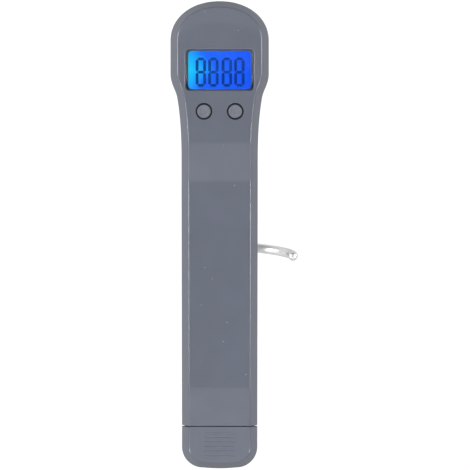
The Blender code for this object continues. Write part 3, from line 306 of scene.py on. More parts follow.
def makeMoulded(name, look):
    made, tree, shader, place = startMaterial(name, look["roughness"], Specular_IOR_Level=look["specular"])
    grain = placeGroup(tree, mouldGrain, place, Scale=look["grain"], Flow=look["flow"])
    specks = placeGroup(tree, dustSpecks, place, Scale=look["dustScale"], Share=look["dust"])
    wear = placeGroup(tree, edgeWear, place, Radius=look["edge"])
    base, mottle = look["colour"], look["mottle"]
    patch = addRange(tree, grain["Tone"], 0.3, 0.7)
    tone = addMix(tree, patch, shade(base, 1.0 - mottle), shade(base, 1.0 + mottle))
    if "recess" in look:
        # painted shade: the colour darkens low down on the button, where the rim of its hole shades it
        height = addNode(tree, "SeparateXYZ", {0: place}).outputs["Z"]
        low, high = look["recess"]
        tone = addMix(tree, addRange(tree, height, high, low, smooth=True), tone, shade(base, 0.12))
    rubbed = addMix(tree, addMath(tree, "MULTIPLY", wear["Mask"], look["wear"]), tone, shade(base, 1.7))
    dusty = addMix(tree, addMath(tree, "MULTIPLY", specks["Mask"], look["dustFade"]), rubbed, dustColour)
    feed(tree, shader["Base Color"], dusty)
    # faces are polished in the mould and the drafted sides are left matt
    normal = addNode(tree, "NewGeometry").outputs["Normal"]
    turn = addNode(tree, "VectorTransform", {0: normal}, vector_type="NORMAL", convert_from="WORLD",
                   convert_to="OBJECT")
    facing = addNode(tree, "SeparateXYZ", {0: turn.outputs[0]}).outputs["Z"]
    side = addRange(tree, facing, 0.55, 0.30, smooth=True)
    matt = addRange(tree, side, 0.0, 1.0, look["roughness"], look["sideRoughness"])
    uneven = addRange(tree, grain["Rough"], 0.0, 1.0, -0.03, 0.04)
    feed(tree, shader["Roughness"], addMath(tree, "ADD", matt, uneven))
    addBump(tree, shader, grain["Height"], look["bump"])
    return made


housingLook = {"colour": (0.128, 0.138, 0.175), "roughness": 0.20, "sideRoughness": 0.62, "specular": 0.5,
               "grain": 2600.0, "flow": 70.0, "bump": 0.000005, "dustScale": 650.0, "dust": 0.05,
               "dustFade": 0.55, "edge": 0.00035, "wear": 0.35, "mottle": 0.04}
buttonLook = {"colour": (0.150, 0.159, 0.195), "roughness": 0.30, "sideRoughness": 0.45, "specular": 0.5,
              "grain": 3200.0, "flow": 1400.0, "bump": 0.000010, "dustScale": 900.0, "dust": 0.04,
              "dustFade": 0.4, "edge": 0.00022, "wear": 0.55, "mottle": 0.16,
              # the next entry gives the heights over which shade is painted on the button's lower part
              "recess": ((shellHigh.z - 1.5) * mm, (shellHigh.z - 0.45) * mm)}
darkLook = {"colour": (0.016, 0.016, 0.019), "roughness": 0.50, "sideRoughness": 0.55, "specular": 0.35,
            "grain": 2400.0, "flow": 120.0, "bump": 0.000015, "dustScale": 700.0, "dust": 0.06,
            "dustFade": 0.25, "edge": 0.0002, "wear": 0.3, "mottle": 0.05}
maskLook = {**darkLook, "colour": (0.075, 0.080, 0.098)}


def makeSteel(name, colour, roughness, along, **sockets):
    made, tree, shader, place = startMaterial(name, roughness, 1.0, **sockets)
    lines = placeGroup(tree, drawnLines, place, Along=along)
    wear = placeGroup(tree, edgeWear, place, Radius=0.0002)
    tone = addMix(tree, lines["Tone"], shade(colour, 0.90), shade(colour, 1.04))
    bright = addMix(tree, addMath(tree, "MULTIPLY", wear["Mask"], 0.5), tone, shade(colour, 1.2))
    feed(tree, shader["Base Color"], bright)
    spread = addRange(tree, lines["Height"], 0.3, 0.7, max(roughness - 0.05, 0.03), roughness + 0.08)
    feed(tree, shader["Roughness"], spread)
    addBump(tree, shader, lines["Height"], 0.000004, 0.7)
    return made


displayLook = {"panel": ((0.0, (0.008, 0.640, 0.900)), (0.42, (0.008, 0.112, 0.930)),
                         (1.0, (0.004, 0.078, 0.840))),
               "figures": ((0.0, (0.001, 0.050, 0.19)), (0.7, (0.001, 0.014, 0.19)))}


def makeGlow(name, stops):
    # a backlight that enters at the left edge, so colour runs across the panel and a little up it
    made, tree, shader, place = startMaterial(name, 0.35, Emission_Strength=1.0, Specular_IOR_Level=0.02,
                                              Base_Color=(0.004, 0.02, 0.08, 1.0))
    parts = addNode(tree, "SeparateXYZ", {0: place}).outputs
    half = (glassHigh.x - glassLow.x) * mm / 2.0
    across = addRange(tree, parts["X"], -half, half)
    middleY = (lensLow.y + lensHigh.y) / 2.0 * mm
    up = addMath(tree, "ABSOLUTE", addMath(tree, "SUBTRACT", parts["Y"], middleY))
    cloud = addRange(tree, addNoise(tree, place, 90.0), 0.3, 0.7, -0.03, 0.03)
    run = addMath(tree, "ADD", addMath(tree, "ADD", across, addMath(tree, "MULTIPLY", up, 26.0)), cloud)
    spread = addNode(tree, "ValToRGB", {"Fac": run})
    while len(spread.color_ramp.elements) < len(stops):
        spread.color_ramp.elements.new(0.5)
    for element, (position, colour) in zip(spread.color_ramp.elements, stops):
        element.position = position
        element.color = shade(colour)
    grid = addNode(tree, "TexVoronoi", {"Scale": 6000.0, "Vector": place}).outputs["Distance"]
    shimmer = addRange(tree, grid, 0.0, 0.8, 0.93, 1.05)
    tint = addNode(tree, "CombineColor", {0: shimmer, 1: shimmer, 2: shimmer}).outputs[0]
    feed(tree, shader["Emission Color"], addMix(tree, 1.0, spread.outputs["Color"], tint, "MULTIPLY"))
    return made


def makeLensMaterial():
    made, tree, shader, place = startMaterial("lensClear", 0.0, Transmission_Weight=1.0, IOR=1.12)
    smear = addNoise(tree, place, 160.0, 4.0, 0.6)
    feed(tree, shader["Base Color"], addMix(tree, smear, (0.97, 0.98, 0.99, 1.0), (1.0, 1.0, 1.0, 1.0)))
    return made


def makePlain(name, colour, roughness, grainScale, bump, second=None, metallic=0.0):
    made, tree, shader, place = startMaterial(name, roughness, metallic)
    grain = placeGroup(tree, mouldGrain, place, Scale=grainScale, Flow=grainScale * 0.08)
    other = shade(second) if second else shade(colour, 1.18)
    feed(tree, shader["Base Color"], addMix(tree, grain["Tone"], shade(colour, 0.9), other))
    rough = addRange(tree, grain["Rough"], 0.0, 1.0, max(roughness - 0.07, 0.03), roughness + 0.07)
    feed(tree, shader["Roughness"], rough)
    addBump(tree, shader, grain["Height"], bump)
    return made


def makeBoardMaterial():
    # solder mask over copper tracks
    made, tree, shader, place = startMaterial("boardMask", 0.35, 0.0, Coat_Weight=0.3, Coat_Roughness=0.2)
    tracks = addNode(tree, "TexBrick", {
        "Vector": place, "Scale": 160.0, "Mortar Size": 0.035, "Color1": (0.0, 0.0, 0.0, 1.0),
        "Color2": (0.15, 0.15, 0.15, 1.0), "Mortar": (1.0, 1.0, 1.0, 1.0)}, offset=0.37).outputs["Color"]
    grain = placeGroup(tree, mouldGrain, place, Scale=2000.0, Flow=150.0)
    green = addMix(tree, grain["Tone"], (0.006, 0.10, 0.03, 1.0), (0.012, 0.15, 0.045, 1.0))
    feed(tree, shader["Base Color"], addMix(tree, tracks, green, (0.05, 0.30, 0.09, 1.0)))
    addBump(tree, shader, tracks, 0.00003, 0.5)
    return made


housing = makeMoulded("housingPlastic", housingLook)
buttonPlastic = makeMoulded("buttonPlastic", buttonLook)
darkPlastic = makeMoulded("darkPlastic", darkLook)
maskPlastic = makeMoulded("maskPlastic", maskLook)
hookSteel = makeSteel("hookSteel", (0.70, 0.69, 0.69), 0.36, 60.0, Specular_Tint=(0.62, 0.62, 0.64, 1.0))
fastenerSteel = makeSteel("fastenerSteel", (0.60, 0.60, 0.60), 0.22, 3000.0)
milledAluminium = makeSteel("milledAluminium", (0.72, 0.73, 0.75), 0.30, 400.0)
contactNickel = makeSteel("contactNickel", (0.70, 0.66, 0.58), 0.24, 800.0)
lcdGlow = makeGlow("displayGlow", displayLook["panel"])
digitGlow = makeGlow("digitGlow", displayLook["figures"])
lensClear = makeLensMaterial()
boardMask = makeBoardMaterial()
lightGuide = makePlain("lightGuide", (0.78, 0.86, 0.92), 0.30, 900.0, 0.00001)
pottingResin = makePlain("pottingResin", (0.012, 0.012, 0.013), 0.25, 500.0, 0.00004)
contactRubber = makePlain("contactRubber", (0.22, 0.22, 0.22), 0.75, 2500.0, 0.00002)
gaugeFoil = makePlain("gaugeFoil", (0.62, 0.30, 0.08), 0.35, 1500.0, 0.00001, (0.80, 0.48, 0.16), 0.2)
batterySleeve = makePlain("batterySleeve", (0.055, 0.062, 0.078), 0.28, 700.0, 0.00001,
                          (0.075, 0.082, 0.10), 0.1)
redWire = makePlain("redInsulation", (0.50, 0.018, 0.016), 0.45, 1200.0, 0.00001)
blackWire = makePlain("blackInsulation", (0.018, 0.018, 0.020), 0.45, 1200.0, 0.00001)
greyWire = makePlain("greyInsulation", (0.33, 0.33, 0.35), 0.45, 1200.0, 0.00001)
print("materials ready")


# ---- making pieces

weld = 0.0005   # corners closer than this, in millimetres, become one


def finishPiece(name, bm, body, material, replaced=(), sharpAngle=32.0, stand=None):
    # weld, turn to where it stands, scale to metres, shade and hand over one piece
    if stand:
        bmesh.ops.transform(bm, matrix=stand, verts=bm.verts)
    bmesh.ops.remove_doubles(bm, verts=bm.verts, dist=weld)
    bmesh.ops.recalc_face_normals(bm, faces=bm.faces)
    bmesh.ops.scale(bm, vec=(mm, mm, mm), verts=bm.verts)
    mesh = meshFrom(name, bm)
    piece = placeObject(name, mesh)
    mesh.materials.append(material)
    mesh.shade_smooth()
    mesh.set_sharp_from_angle(angle=math.radians(sharpAngle))
    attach(piece, body)
    if replaced:
        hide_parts(*replaced)
    return piece


def carve(bm, cutters, operation="DIFFERENCE"):
    # cut or join closed meshes in millimetres, one after another
    current = bm
    for cutter in cutters:
        objects = []
        for label, source in (("carved", current), ("cutter", cutter)):
            bmesh.ops.recalc_face_normals(source, faces=source.faces)
            objects.append(placeObject(label, meshFrom(label, source)))
        target, tool = objects
        step = target.modifiers.new("carve", "BOOLEAN")
        step.operation = operation
        step.solver = "EXACT"
        step.object = tool
        graph = bpy.context.evaluated_depsgraph_get()
        result = bpy.data.meshes.new_from_object(target.evaluated_get(graph))
        current = bmesh.new()
        current.from_mesh(result)
        for helper in objects:
            mesh = helper.data
            bpy.data.objects.remove(helper)
            bpy.data.meshes.remove(mesh)
        bpy.data.meshes.remove(result)
    return current


def turned(profile, place=(0.0, 0.0, 0.0), axis=(0.0, 0.0, 1.0), steps=48):
    # a profile of (radius, height) points spun into a closed solid, both ends on the axis
    bm = bmesh.new()
    points = [bm.verts.new((radius, 0.0, height)) for radius, height in profile]
    edges = [bm.edges.new(pair) for pair in zip(points, points[1:])]
    bmesh.ops.spin(bm, geom=points + edges, cent=(0.0, 0.0, 0.0), axis=(0.0, 0.0, 1.0), dvec=(0.0, 0.0, 0.0),
                   angle=2.0 * math.pi, steps=steps, use_merge=True, use_duplicate=False)
    bmesh.ops.remove_doubles(bm, verts=bm.verts, dist=weld)
    turn = Vector(axis).to_track_quat("Z", "Y").to_matrix().to_4x4()
    bmesh.ops.transform(bm, matrix=Matrix.Translation(place) @ turn, verts=bm.verts)
    return bm


def rod(radius, low, high, place=(0.0, 0.0, 0.0), axis=(0.0, 0.0, 1.0), steps=40):
    return turned(((0.0, low), (radius, low), (radius, high), (0.0, high)), place, axis, steps)


def slab(outline, low, high):
    # a flat outline raised between two heights
    bm = bmesh.new()
    face = bm.faces.new([bm.verts.new((x, y, low)) for x, y in outline])
    raised = bmesh.ops.extrude_face_region(bm, geom=[face])["geom"]
    moved = [item for item in raised if isinstance(item, bmesh.types.BMVert)]
    bmesh.ops.translate(bm, vec=(0.0, 0.0, high - low), verts=moved)
    return bm


def addTo(bm, other):
    mesh = meshFrom("joined", other)
    bm.from_mesh(mesh)
    bpy.data.meshes.remove(mesh)
    return bm


def roundedOutline(halfX, halfY, corner, centreY=0.0, steps=10):
    points = []
    for quarter, (sideX, sideY) in enumerate(((1, 1), (-1, 1), (-1, -1), (1, -1))):
        for step in range(steps + 1):
            angle = (quarter + step / steps) * math.pi / 2.0
            points.append((sideX * (halfX - corner) + corner * math.cos(angle),
                           centreY + sideY * (halfY - corner) + corner * math.sin(angle)))
    return points


def softenEdges(bm, width, segments=3, angle=30.0):
    # round every edge that is sharper than the angle
    limit = math.radians(angle)
    sharp = [edge for edge in bm.edges if len(edge.link_faces) == 2 and edge.calc_face_angle() > limit]
    bmesh.ops.bevel(bm, geom=sharp, offset=width, offset_type="OFFSET", affect="EDGES", segments=segments,
                    profile=0.5, material=-1, clamp_overlap=True)
    return bm


def tube(points, radii, sides=28):
    # circles set along a path and bridged, each end closed
    bm = bmesh.new()
    loops = []
    side = (points[1] - points[0]).orthogonal().normalized()
    for index, point in enumerate(points):
        before = points[max(index - 1, 0)]
        after = points[min(index + 1, len(points) - 1)]
        along = (after - before).normalized()
        side = (side - along * side.dot(along)).normalized()
        frameMatrix = Matrix((side, along.cross(side), along)).transposed().to_4x4()
        loops.append(bmesh.ops.create_circle(bm, segments=sides, radius=radii[index],
                                             matrix=Matrix.Translation(point) @ frameMatrix)["verts"])
    for first, second in zip(loops, loops[1:]):
        edges = {edge for vert in first + second for edge in vert.link_edges if len(edge.link_faces) < 2}
        rims = [edge for edge in edges if (edge.verts[0] in first) == (edge.verts[1] in first)]
        bmesh.ops.bridge_loops(bm, edges=rims)
    for loop in (loops[0], loops[-1]):
        bm.faces.new(loop)
    return bm


# ---- the body's surface, shared by both shells and the end cap

bodyShape = {"gripWidth": 31.8, "capWidth": 31.4, "endCorner": 9.0, "endCrown": 0.35, "domeHeight": 16.5,
             "domePower": 2.1, "gripToShoulder": 41.4, "shoulderRise": 35.8, "sideInset": 2.75,
             "ridgeRadius": 1.0, "backCorner": 6.0, "faceHeight": 12.0, "headRise": 1.2, "endFall": 2.0,
             "backDepth": 14.0, "backEndRise": 1.4, "backHeadRise": 2.0, "wall": 2.0,
             "crownDrop": 9.2, "crownSlope": 0.055, "crownCurve": 0.0199, "crownSoft": 0.8, "seam": 0.3,
             "lowerCrease": 15.75, "upperCrease": 9.2, "headCrease": 7.0, "endInset": 0.22}

topY = shellHigh.y
bottomY = capLow.y
seamY = (shellLow.y + capHigh.y) / 2.0 if capHigh.y < shellLow.y else shellLow.y - bodyShape["seam"] / 2.0
headHalf = shellHigh.x
rim = bodyShape["seam"] / 2.0
lowerCreaseY = seamY + bodyShape["lowerCrease"]
upperCreaseY = bodyShape["gripToShoulder"] - bodyShape["upperCrease"]
headCreaseY = bodyShape["gripToShoulder"] + bodyShape["headCrease"]
shoulderY = bodyShape["gripToShoulder"] + bodyShape["shoulderRise"]
domeY = topY - bodyShape["domeHeight"]
wide, far = headHalf + 10.0, 30.0   # past the body on every side


def readStations(stations, position):
    if position <= stations[0][0]:
        return stations[0][1]
    for (start, first), (end, last) in zip(stations, stations[1:]):
        if position <= end:
            return first + (last - first) * (position - start) / (end - start)
    return stations[-1][1]


def softStations(stations, position, reach=0.6):
    # the same, with each corner eased over a short reach
    total = 0.0
    for share in (-1.0, -0.5, 0.0, 0.5, 1.0):
        total += readStations(stations, position + share * reach)
    return total / 5.0


def faceHeight(x, y):
    face = bodyShape["faceHeight"]
    head = face + bodyShape["headRise"]
    height = softStations(((bottomY, face - bodyShape["endFall"]), (lowerCreaseY, face), (upperCreaseY, face),
                           (headCreaseY, head)), y)
    past = y - (topY - bodyShape["crownDrop"] - bodyShape["crownCurve"] * x * x)
    soft = bodyShape["crownSoft"]
    if past > -soft:
        eased = (past + soft) ** 2 / (4.0 * soft) if past < soft else past
        height -= eased * bodyShape["crownSlope"]
    return height


def backDepth(y):
    deep = bodyShape["backDepth"]
    return softStations(((bottomY, deep - bodyShape["backEndRise"]), (seamY, deep), (shoulderY, deep),
                         (topY, deep - bodyShape["backHeadRise"])), y, 3.0)


def easedCurve(start, end, y):
    # a smooth curve between two points of (y, value, slope)
    length = end[0] - start[0]
    t = (y - start[0]) / length
    return (start[1] * (2 * t ** 3 - 3 * t ** 2 + 1) + end[1] * (3 * t ** 2 - 2 * t ** 3)
            + start[2] * length * (t ** 3 - 2 * t ** 2 + t) + end[2] * length * (t ** 3 - t ** 2))


def halfWidth(y):
    grip = bodyShape["gripWidth"] / 2.0
    rise = bodyShape["shoulderRise"]
    growth = headHalf - grip
    start = bodyShape["gripToShoulder"]
    if y <= start:
        return readStations(((seamY, bodyShape["capWidth"] / 2.0), (upperCreaseY, grip)), y)
    stations = ((start, grip, 0.0), (start + rise * 0.73, grip + growth * 0.395, growth * 0.037),
                (start + rise * 0.855, grip + growth * 0.745, growth * 0.087), (shoulderY, headHalf, 0.0))
    for first, last in zip(stations, stations[1:]):
        if y <= last[0]:
            return easedCurve(first, last, y)
    return headHalf


def rightSide():
    # stations up the right-hand side, from the middle of the foot to the top of the dome
    points = []
    corner = bodyShape["endCorner"]
    cap = bodyShape["capWidth"] / 2.0
    flat = cap - corner
    for step in range(5):
        x = flat * (step + 0.2) / 5.0
        points.append((x, bottomY + bodyShape["endCrown"] * (x / flat) ** 2))
    for step in range(17):
        angle = (step / 16.0 - 1.0) * math.pi / 2.0
        lift = bodyShape["endCrown"] * (1.0 - step / 16.0)
        points.append((flat + corner * math.cos(angle), bottomY + corner + corner * math.sin(angle) + lift))
    y = bottomY + corner
    while y < domeY - 1.6:
        fine = min(abs(y - crease) for crease in (lowerCreaseY, upperCreaseY, headCreaseY, seamY))
        y += 0.4 if fine < 1.3 else (1.2 if y > bodyShape["gripToShoulder"] else 2.4)
        points.append((halfWidth(y), y))
    domeSteps = 40
    for step in range(domeSteps):
        angle = step / domeSteps * math.pi / 2.0
        power = 2.0 / bodyShape["domePower"]
        points.append((headHalf * math.cos(angle) ** power,
                       domeY + bodyShape["domeHeight"] * math.sin(angle) ** power))
    return [Vector(point) for point in points]


def bodyOutline(inset):
    right = rightSide()
    loop = right + [Vector((-point.x, point.y)) for point in reversed(right)]
    moved = []
    for index, point in enumerate(loop):
        along = (loop[(index + 1) % len(loop)] - loop[index - 1]).normalized()
        moved.append(point + Vector((-along.y, along.x)) * inset)
    return moved


def bodyLevels(side, offset, start):
    # (inset, height rule) for each ring from near the parting plane to the face or the back
    shape = bodyShape
    levels = []
    if side > 0:
        slope = shape["sideInset"] / shape["faceHeight"]
        draft = math.atan(slope)
        radius = max(shape["ridgeRadius"] - offset * 0.3, 0.3)
        tangent = radius * math.tan((math.pi / 2.0 - draft) / 2.0)
        for share in (0.0, 0.25, 0.5, 0.75):
            levels.append((share * shape["sideInset"], share, 0.0))
        for step in range(9):
            turn = (math.pi / 2.0 - draft) * (1.0 - step / 8.0)
            inset = shape["sideInset"] + tangent - radius * math.sin(turn)
            levels.append((inset, 1.0, radius - radius * math.cos(turn)))
        levels.append((shape["sideInset"] + tangent + 0.6, 1.0, 0.0))
        return [(offset + inset, (lambda x, y, share=share, drop=drop:
                                  start + (faceHeight(x, y) - offset - start) * share - drop))
                for inset, share, drop in levels]
    corner = shape["backCorner"] - 0.8 * offset
    for step in range(13):
        angle = step / 12.0 * math.pi / 2.0
        levels.append((corner * (1.0 - math.cos(angle)), math.sin(angle)))
    levels.append((corner + 0.8, 1.0))
    return [(offset + inset, (lambda x, y, share=share: -start + (offset - backDepth(y) + start) * share))
            for inset, share in levels]


def growRings(bm, rings):
    # the first ring is drawn, and each next one is extruded from it and moved to its place
    station = bm.verts.layers.int.new("station")
    first = verts = [bm.verts.new(point) for point in rings[0]]
    for index, vert in enumerate(verts):
        vert[station] = index
    edges = [bm.edges.new(pair) for pair in zip(verts, verts[1:] + verts[:1])]
    for ring in rings[1:]:
        grown = bmesh.ops.extrude_edge_only(bm, edges=edges)["geom"]
        verts = [item for item in grown if isinstance(item, bmesh.types.BMVert)]
        made = set(verts)
        edges = [item for item in grown if isinstance(item, bmesh.types.BMEdge) and made.issuperset(item.verts)]
        for vert in verts:
            vert.co = ring[vert[station]]
    return first, sorted(verts, key=lambda vert: vert[station])


def skinRings(bm, levels):
    return growRings(bm, [[(point.x, point.y, rule(point.x, point.y)) for point in bodyOutline(inset)]
                          for inset, rule in levels])


def closeLadder(bm, ring, cuts, rule=None):
    # strips from each right-hand station to its left-hand twin, then cut across
    half = len(ring) // 2
    rights = [bm.edges.get((ring[index], ring[index + 1])) for index in range(half - 1)]
    lefts = [bm.edges.get((ring[index], ring[index + 1])) for index in range(half, 2 * half - 1)]
    before = set(bm.faces)
    bmesh.ops.bridge_loops(bm, edges=rights + lefts)
    strips = [face for face in bm.faces if face not in before]
    if cuts:
        onRing = set(ring)
        rungs = {edge for face in strips for edge in face.edges
                 if onRing.issuperset(edge.verts) and edge not in rights + lefts}
        made = bmesh.ops.subdivide_edges(bm, edges=list(rungs), cuts=cuts, use_grid_fill=False)["geom_inner"]
        for item in made:
            if isinstance(item, bmesh.types.BMVert):
                item.co.z = rule(item.co.x, item.co.y)


def bodyHalf(side, offset, start, cuts=0):
    # one half of the body as a closed solid, from the parting plane to the face or the back
    bm = bmesh.new()
    levels = bodyLevels(side, offset, start)
    first, last = skinRings(bm, levels)
    closeLadder(bm, first, 0)
    closeLadder(bm, last, cuts, levels[-1][1])   # last, because subdividing makes every vertex anew
    return bm


def wholeBody(offset):
    # both halves joined on the parting plane
    bm = bmesh.new()
    for side in (1, -1):
        half = bmesh.new()
        levels = bodyLevels(side, offset, 0.0)
        cuts = 14 if side > 0 and not offset else 0
        closeLadder(half, skinRings(half, levels)[1], cuts, levels[-1][1])
        addTo(bm, half)
    bmesh.ops.remove_doubles(bm, verts=bm.verts, dist=weld)
    return bm


def boxSolid(low, high):
    bm = bmesh.new()
    size = [top - bottom for bottom, top in zip(low, high)]
    middle = [(top + bottom) / 2.0 for bottom, top in zip(low, high)]
    bmesh.ops.create_cube(bm, size=1.0, matrix=Matrix.Translation(middle) @ Matrix.Diagonal((*size, 1.0)))
    return bm


def flaredSlab(halfX, halfY, corner, centre, levels):
    # a rounded outline carried through levels of (height, growth), for a hole whose rim is eased
    bm = bmesh.new()
    rings = [[(x + centre[0], y + centre[1], height)
              for x, y in roundedOutline(halfX + growth, halfY + growth, corner + growth)]
             for height, growth in levels]
    for ring in growRings(bm, rings):
        bm.faces.new(ring)
    return bm


# ---- front shell

frontShape = {"windowX": 14.15, "windowY": 8.55, "windowDrop": 0.25, "windowCorner": 1.8, "windowRim": 0.60,
              "holeRadius": 3.5, "holeRim": 0.20, "bossRadius": 2.4}
faceZ = shellHigh.z
windowY = (lensLow.y + lensHigh.y) / 2.0
buttonX = (unitHigh.x + unitLow.x) / 2.0
buttonY = (unitHigh.y + unitLow.y) / 2.0


def rimLevels(radius, top, low):
    # heights and growths of a rounded rim that meets the face a little before it is level
    base = top - radius * math.sin(math.radians(75.0))
    levels = [(low, 0.0)]
    for degrees in (0.0, 9.0, 18.0, 27.0, 36.0, 45.0, 54.0, 63.0, 75.0):
        angle = math.radians(degrees)
        levels.append((base + radius * math.sin(angle), radius * (1.0 - math.cos(angle))))
    last = levels.pop()
    levels.append((last[0] + 0.134, last[1] + 0.5))
    levels.append((last[0] + 2.0, last[1] + 0.5))
    return levels


def makeFrontShell():
    shape = frontShape
    shell = bodyHalf(1, 0.0, rim, 14)
    core = bodyHalf(1, bodyShape["wall"], -1.0)
    bosses = bmesh.new()
    for x, y in caseScrews:
        addTo(bosses, rod(shape["bossRadius"], rim, rim + 33.0, (x, y, 0.0), steps=24))
    core = carve(core, [bosses])
    window = flaredSlab(shape["windowX"], shape["windowY"], shape["windowCorner"],
                        (0.0, windowY - shape["windowDrop"]), rimLevels(shape["windowRim"], faceZ, faceZ - 5.0))
    holes = bmesh.new()
    for side in (-1.0, 1.0):
        levels = rimLevels(shape["holeRim"], faceZ, faceZ - 5.0)
        profile = [(0.0, levels[0][0])] + [(shape["holeRadius"] + growth, height) for height, growth in levels]
        addTo(holes, turned(profile + [(0.0, levels[-1][0])], (side * buttonX, buttonY, 0.0), steps=64))
    openEnd = boxSolid((-wide, bottomY - 5.0, -5.0), (wide, seamY + bodyShape["endInset"], far))
    shell = carve(shell, [core, window, holes, openEnd])
    return finishPiece("frontShell", shell, "root", housing, ("front_shell",), 13.0)


caseScrews = []
for number in range(1, 7):
    screwLow, screwHigh = spanOf("case_screw_%d" % number)
    caseScrews.append(((screwLow.x + screwHigh.x) / 2.0, (screwLow.y + screwHigh.y) / 2.0))
makeFrontShell()
print("front shell made")


# ---- back shell, with its screw wells and the hook slot

backShape = {"slotX": 9.2, "slotY": 10.5, "slotCorner": 2.6, "wellRadius": 2.2, "wellSeat": -8.3,
             "wellRim": 0.25, "wellWall": 1.2, "holeRadius": 1.5}


def makeBackShell():
    shape = backShape
    shell = bodyHalf(-1, 0.0, rim)
    core = bodyHalf(-1, bodyShape["wall"], -1.0)
    pads = bmesh.new()
    wells = bmesh.new()
    radius, eased, hole, seat = shape["wellRadius"], shape["wellRim"], shape["holeRadius"], shape["wellSeat"]
    for x, y in caseScrews:
        addTo(pads, rod(radius + shape["wellWall"], -far, 0.5, (x, y, 0.0), steps=32))
        back = -backDepth(y)
        flare = radius + eased + 0.6
        profile = ((0.0, back - 3.0), (flare, back - 3.0), (flare, back - 0.12), (radius + eased * 0.74, back),
                   (radius + eased * 0.26, back + eased * 0.4), (radius, back + eased), (radius, seat),
                   (hole, seat), (hole, 2.0), (0.0, 2.0))
        addTo(wells, turned(profile, (x, y, 0.0), steps=40))
    core = carve(core, [pads])
    slot = slab(roundedOutline(shape["slotX"], shape["slotY"], shape["slotCorner"]),
                backLow.z - 3.0, backLow.z + 6.0)
    openEnd = boxSolid((-wide, bottomY - 5.0, -far), (wide, seamY + bodyShape["endInset"], 5.0))
    shell = carve(shell, [core, wells, slot, openEnd])
    return finishPiece("backShell", shell, "root", housing, ("back_shell",), 13.0)


makeBackShell()
print("back shell made")


# ---- end cap, with its skirt and the ribs for a finger

capShape = {"skirtGap": 2.3, "skirtWall": 1.2, "skirtLength": 4.5, "skirtRoot": 1.5, "ribPitch": 1.86,
            "firstRib": 2.97, "ribs": 6, "ribHalf": 6.5, "ribWidth": 0.66, "ribHeight": 0.22, "seamHalf": 0.27,
            "ribCrown": ((0.22, 0.0), (0.14, -0.05), (0.07, -0.13), (0.02, -0.22), (0.0, -0.31))}


def makeEndCap():
    shape = capShape
    beyond = (wide, topY + 20.0, far)
    cap = carve(wholeBody(0.0), [boxSolid((-wide, seamY - shape["seamHalf"], -far), beyond)])
    skirt = carve(wholeBody(shape["skirtGap"]),
                  [boxSolid((-wide, seamY + shape["skirtLength"], -far), beyond),
                   boxSolid((-wide, bottomY - 20.0, -far), (wide, seamY - shape["skirtRoot"], far))])
    cap = carve(cap, [skirt], "UNION")
    cap = carve(cap, [wholeBody(shape["skirtGap"] + shape["skirtWall"])])
    ribs = bmesh.new()
    for index in range(shape["ribs"]):
        y = seamY - shape["firstRib"] - shape["ribPitch"] * index
        low = faceHeight(0.0, y)
        half, top = shape["ribWidth"] / 2.0, low + shape["ribHeight"]
        levels = [(low - 0.3, 0.0)] + [(top - drop, growth) for drop, growth in shape["ribCrown"]]
        addTo(ribs, flaredSlab(shape["ribHalf"], half, half * 0.98, (0.0, y), levels))
    cap = carve(cap, [ribs], "UNION")
    return finishPiece("endCap", cap, "end_cap", housing, ("end_cap",), 13.0)


makeEndCap()
print("end cap made")


# ---- display: clear window and the seven-segment figures on the lit panel

displayShape = {"lensTrimX": 0.2, "lensTrimY": 0.42, "lensSoft": 0.18, "digitX": (-7.8, -2.6, 3.0, 8.2),
                "digitWidth": 4.3, "digitLow": 71.7, "digitHigh": 83.8, "stroke": 1.18, "gap": 0.12, "ink": 0.03}


def makeLens():
    halfX = (lensHigh.x - lensLow.x) / 2.0 - displayShape["lensTrimX"]
    halfY = (lensHigh.y - lensLow.y) / 2.0 - displayShape["lensTrimY"]
    lens = slab(roundedOutline(halfX, halfY, 1.6, windowY - frontShape["windowDrop"]), lensLow.z, lensHigh.z)
    softenEdges(lens, displayShape["lensSoft"], 3)
    return finishPiece("displayWindow", lens, "root", lensClear, ("display_lens",), 15.0)


def segmentBar(start, end, width, low, high):
    # one segment, a bar whose two ends are pointed
    along = (end - start).normalized()
    across = Vector((-along.y, along.x)) * width / 2.0
    tip = along * width / 2.0
    return slab([start, start + tip - across, end - tip - across, end, end - tip + across, start + tip + across],
                low, high)


def makeDigits():
    shape = displayShape
    low = glassHigh.z + 0.02
    digits = bmesh.new()
    reach = (shape["digitWidth"] - shape["stroke"]) / 2.0
    heights = (shape["digitLow"] + shape["stroke"] / 2.0, (shape["digitLow"] + shape["digitHigh"]) / 2.0,
               shape["digitHigh"] - shape["stroke"] / 2.0)
    for x in shape["digitX"]:
        bars = [((x - reach, y), (x + reach, y)) for y in heights]
        for side in (-reach, reach):
            bars += [((x + side, first), (x + side, last)) for first, last in zip(heights, heights[1:])]
        for start, end in bars:
            start, end = Vector(start), Vector(end)
            trim = (end - start).normalized() * shape["gap"]
            addTo(digits, segmentBar(start + trim, end - trim, shape["stroke"], low, low + shape["ink"]))
    return finishPiece("displayDigits", digits, "root", digitGlow)


makeLens()
makeDigits()
print("display made")


# ---- buttons

buttonShape = {"radius": 2.78, "flangeRadius": 3.8, "stemRadius": 2.0, "flangeDrop": 2.4, "rimWidth": 0.5,
               "dish": 0.28, "soft": 0.32}


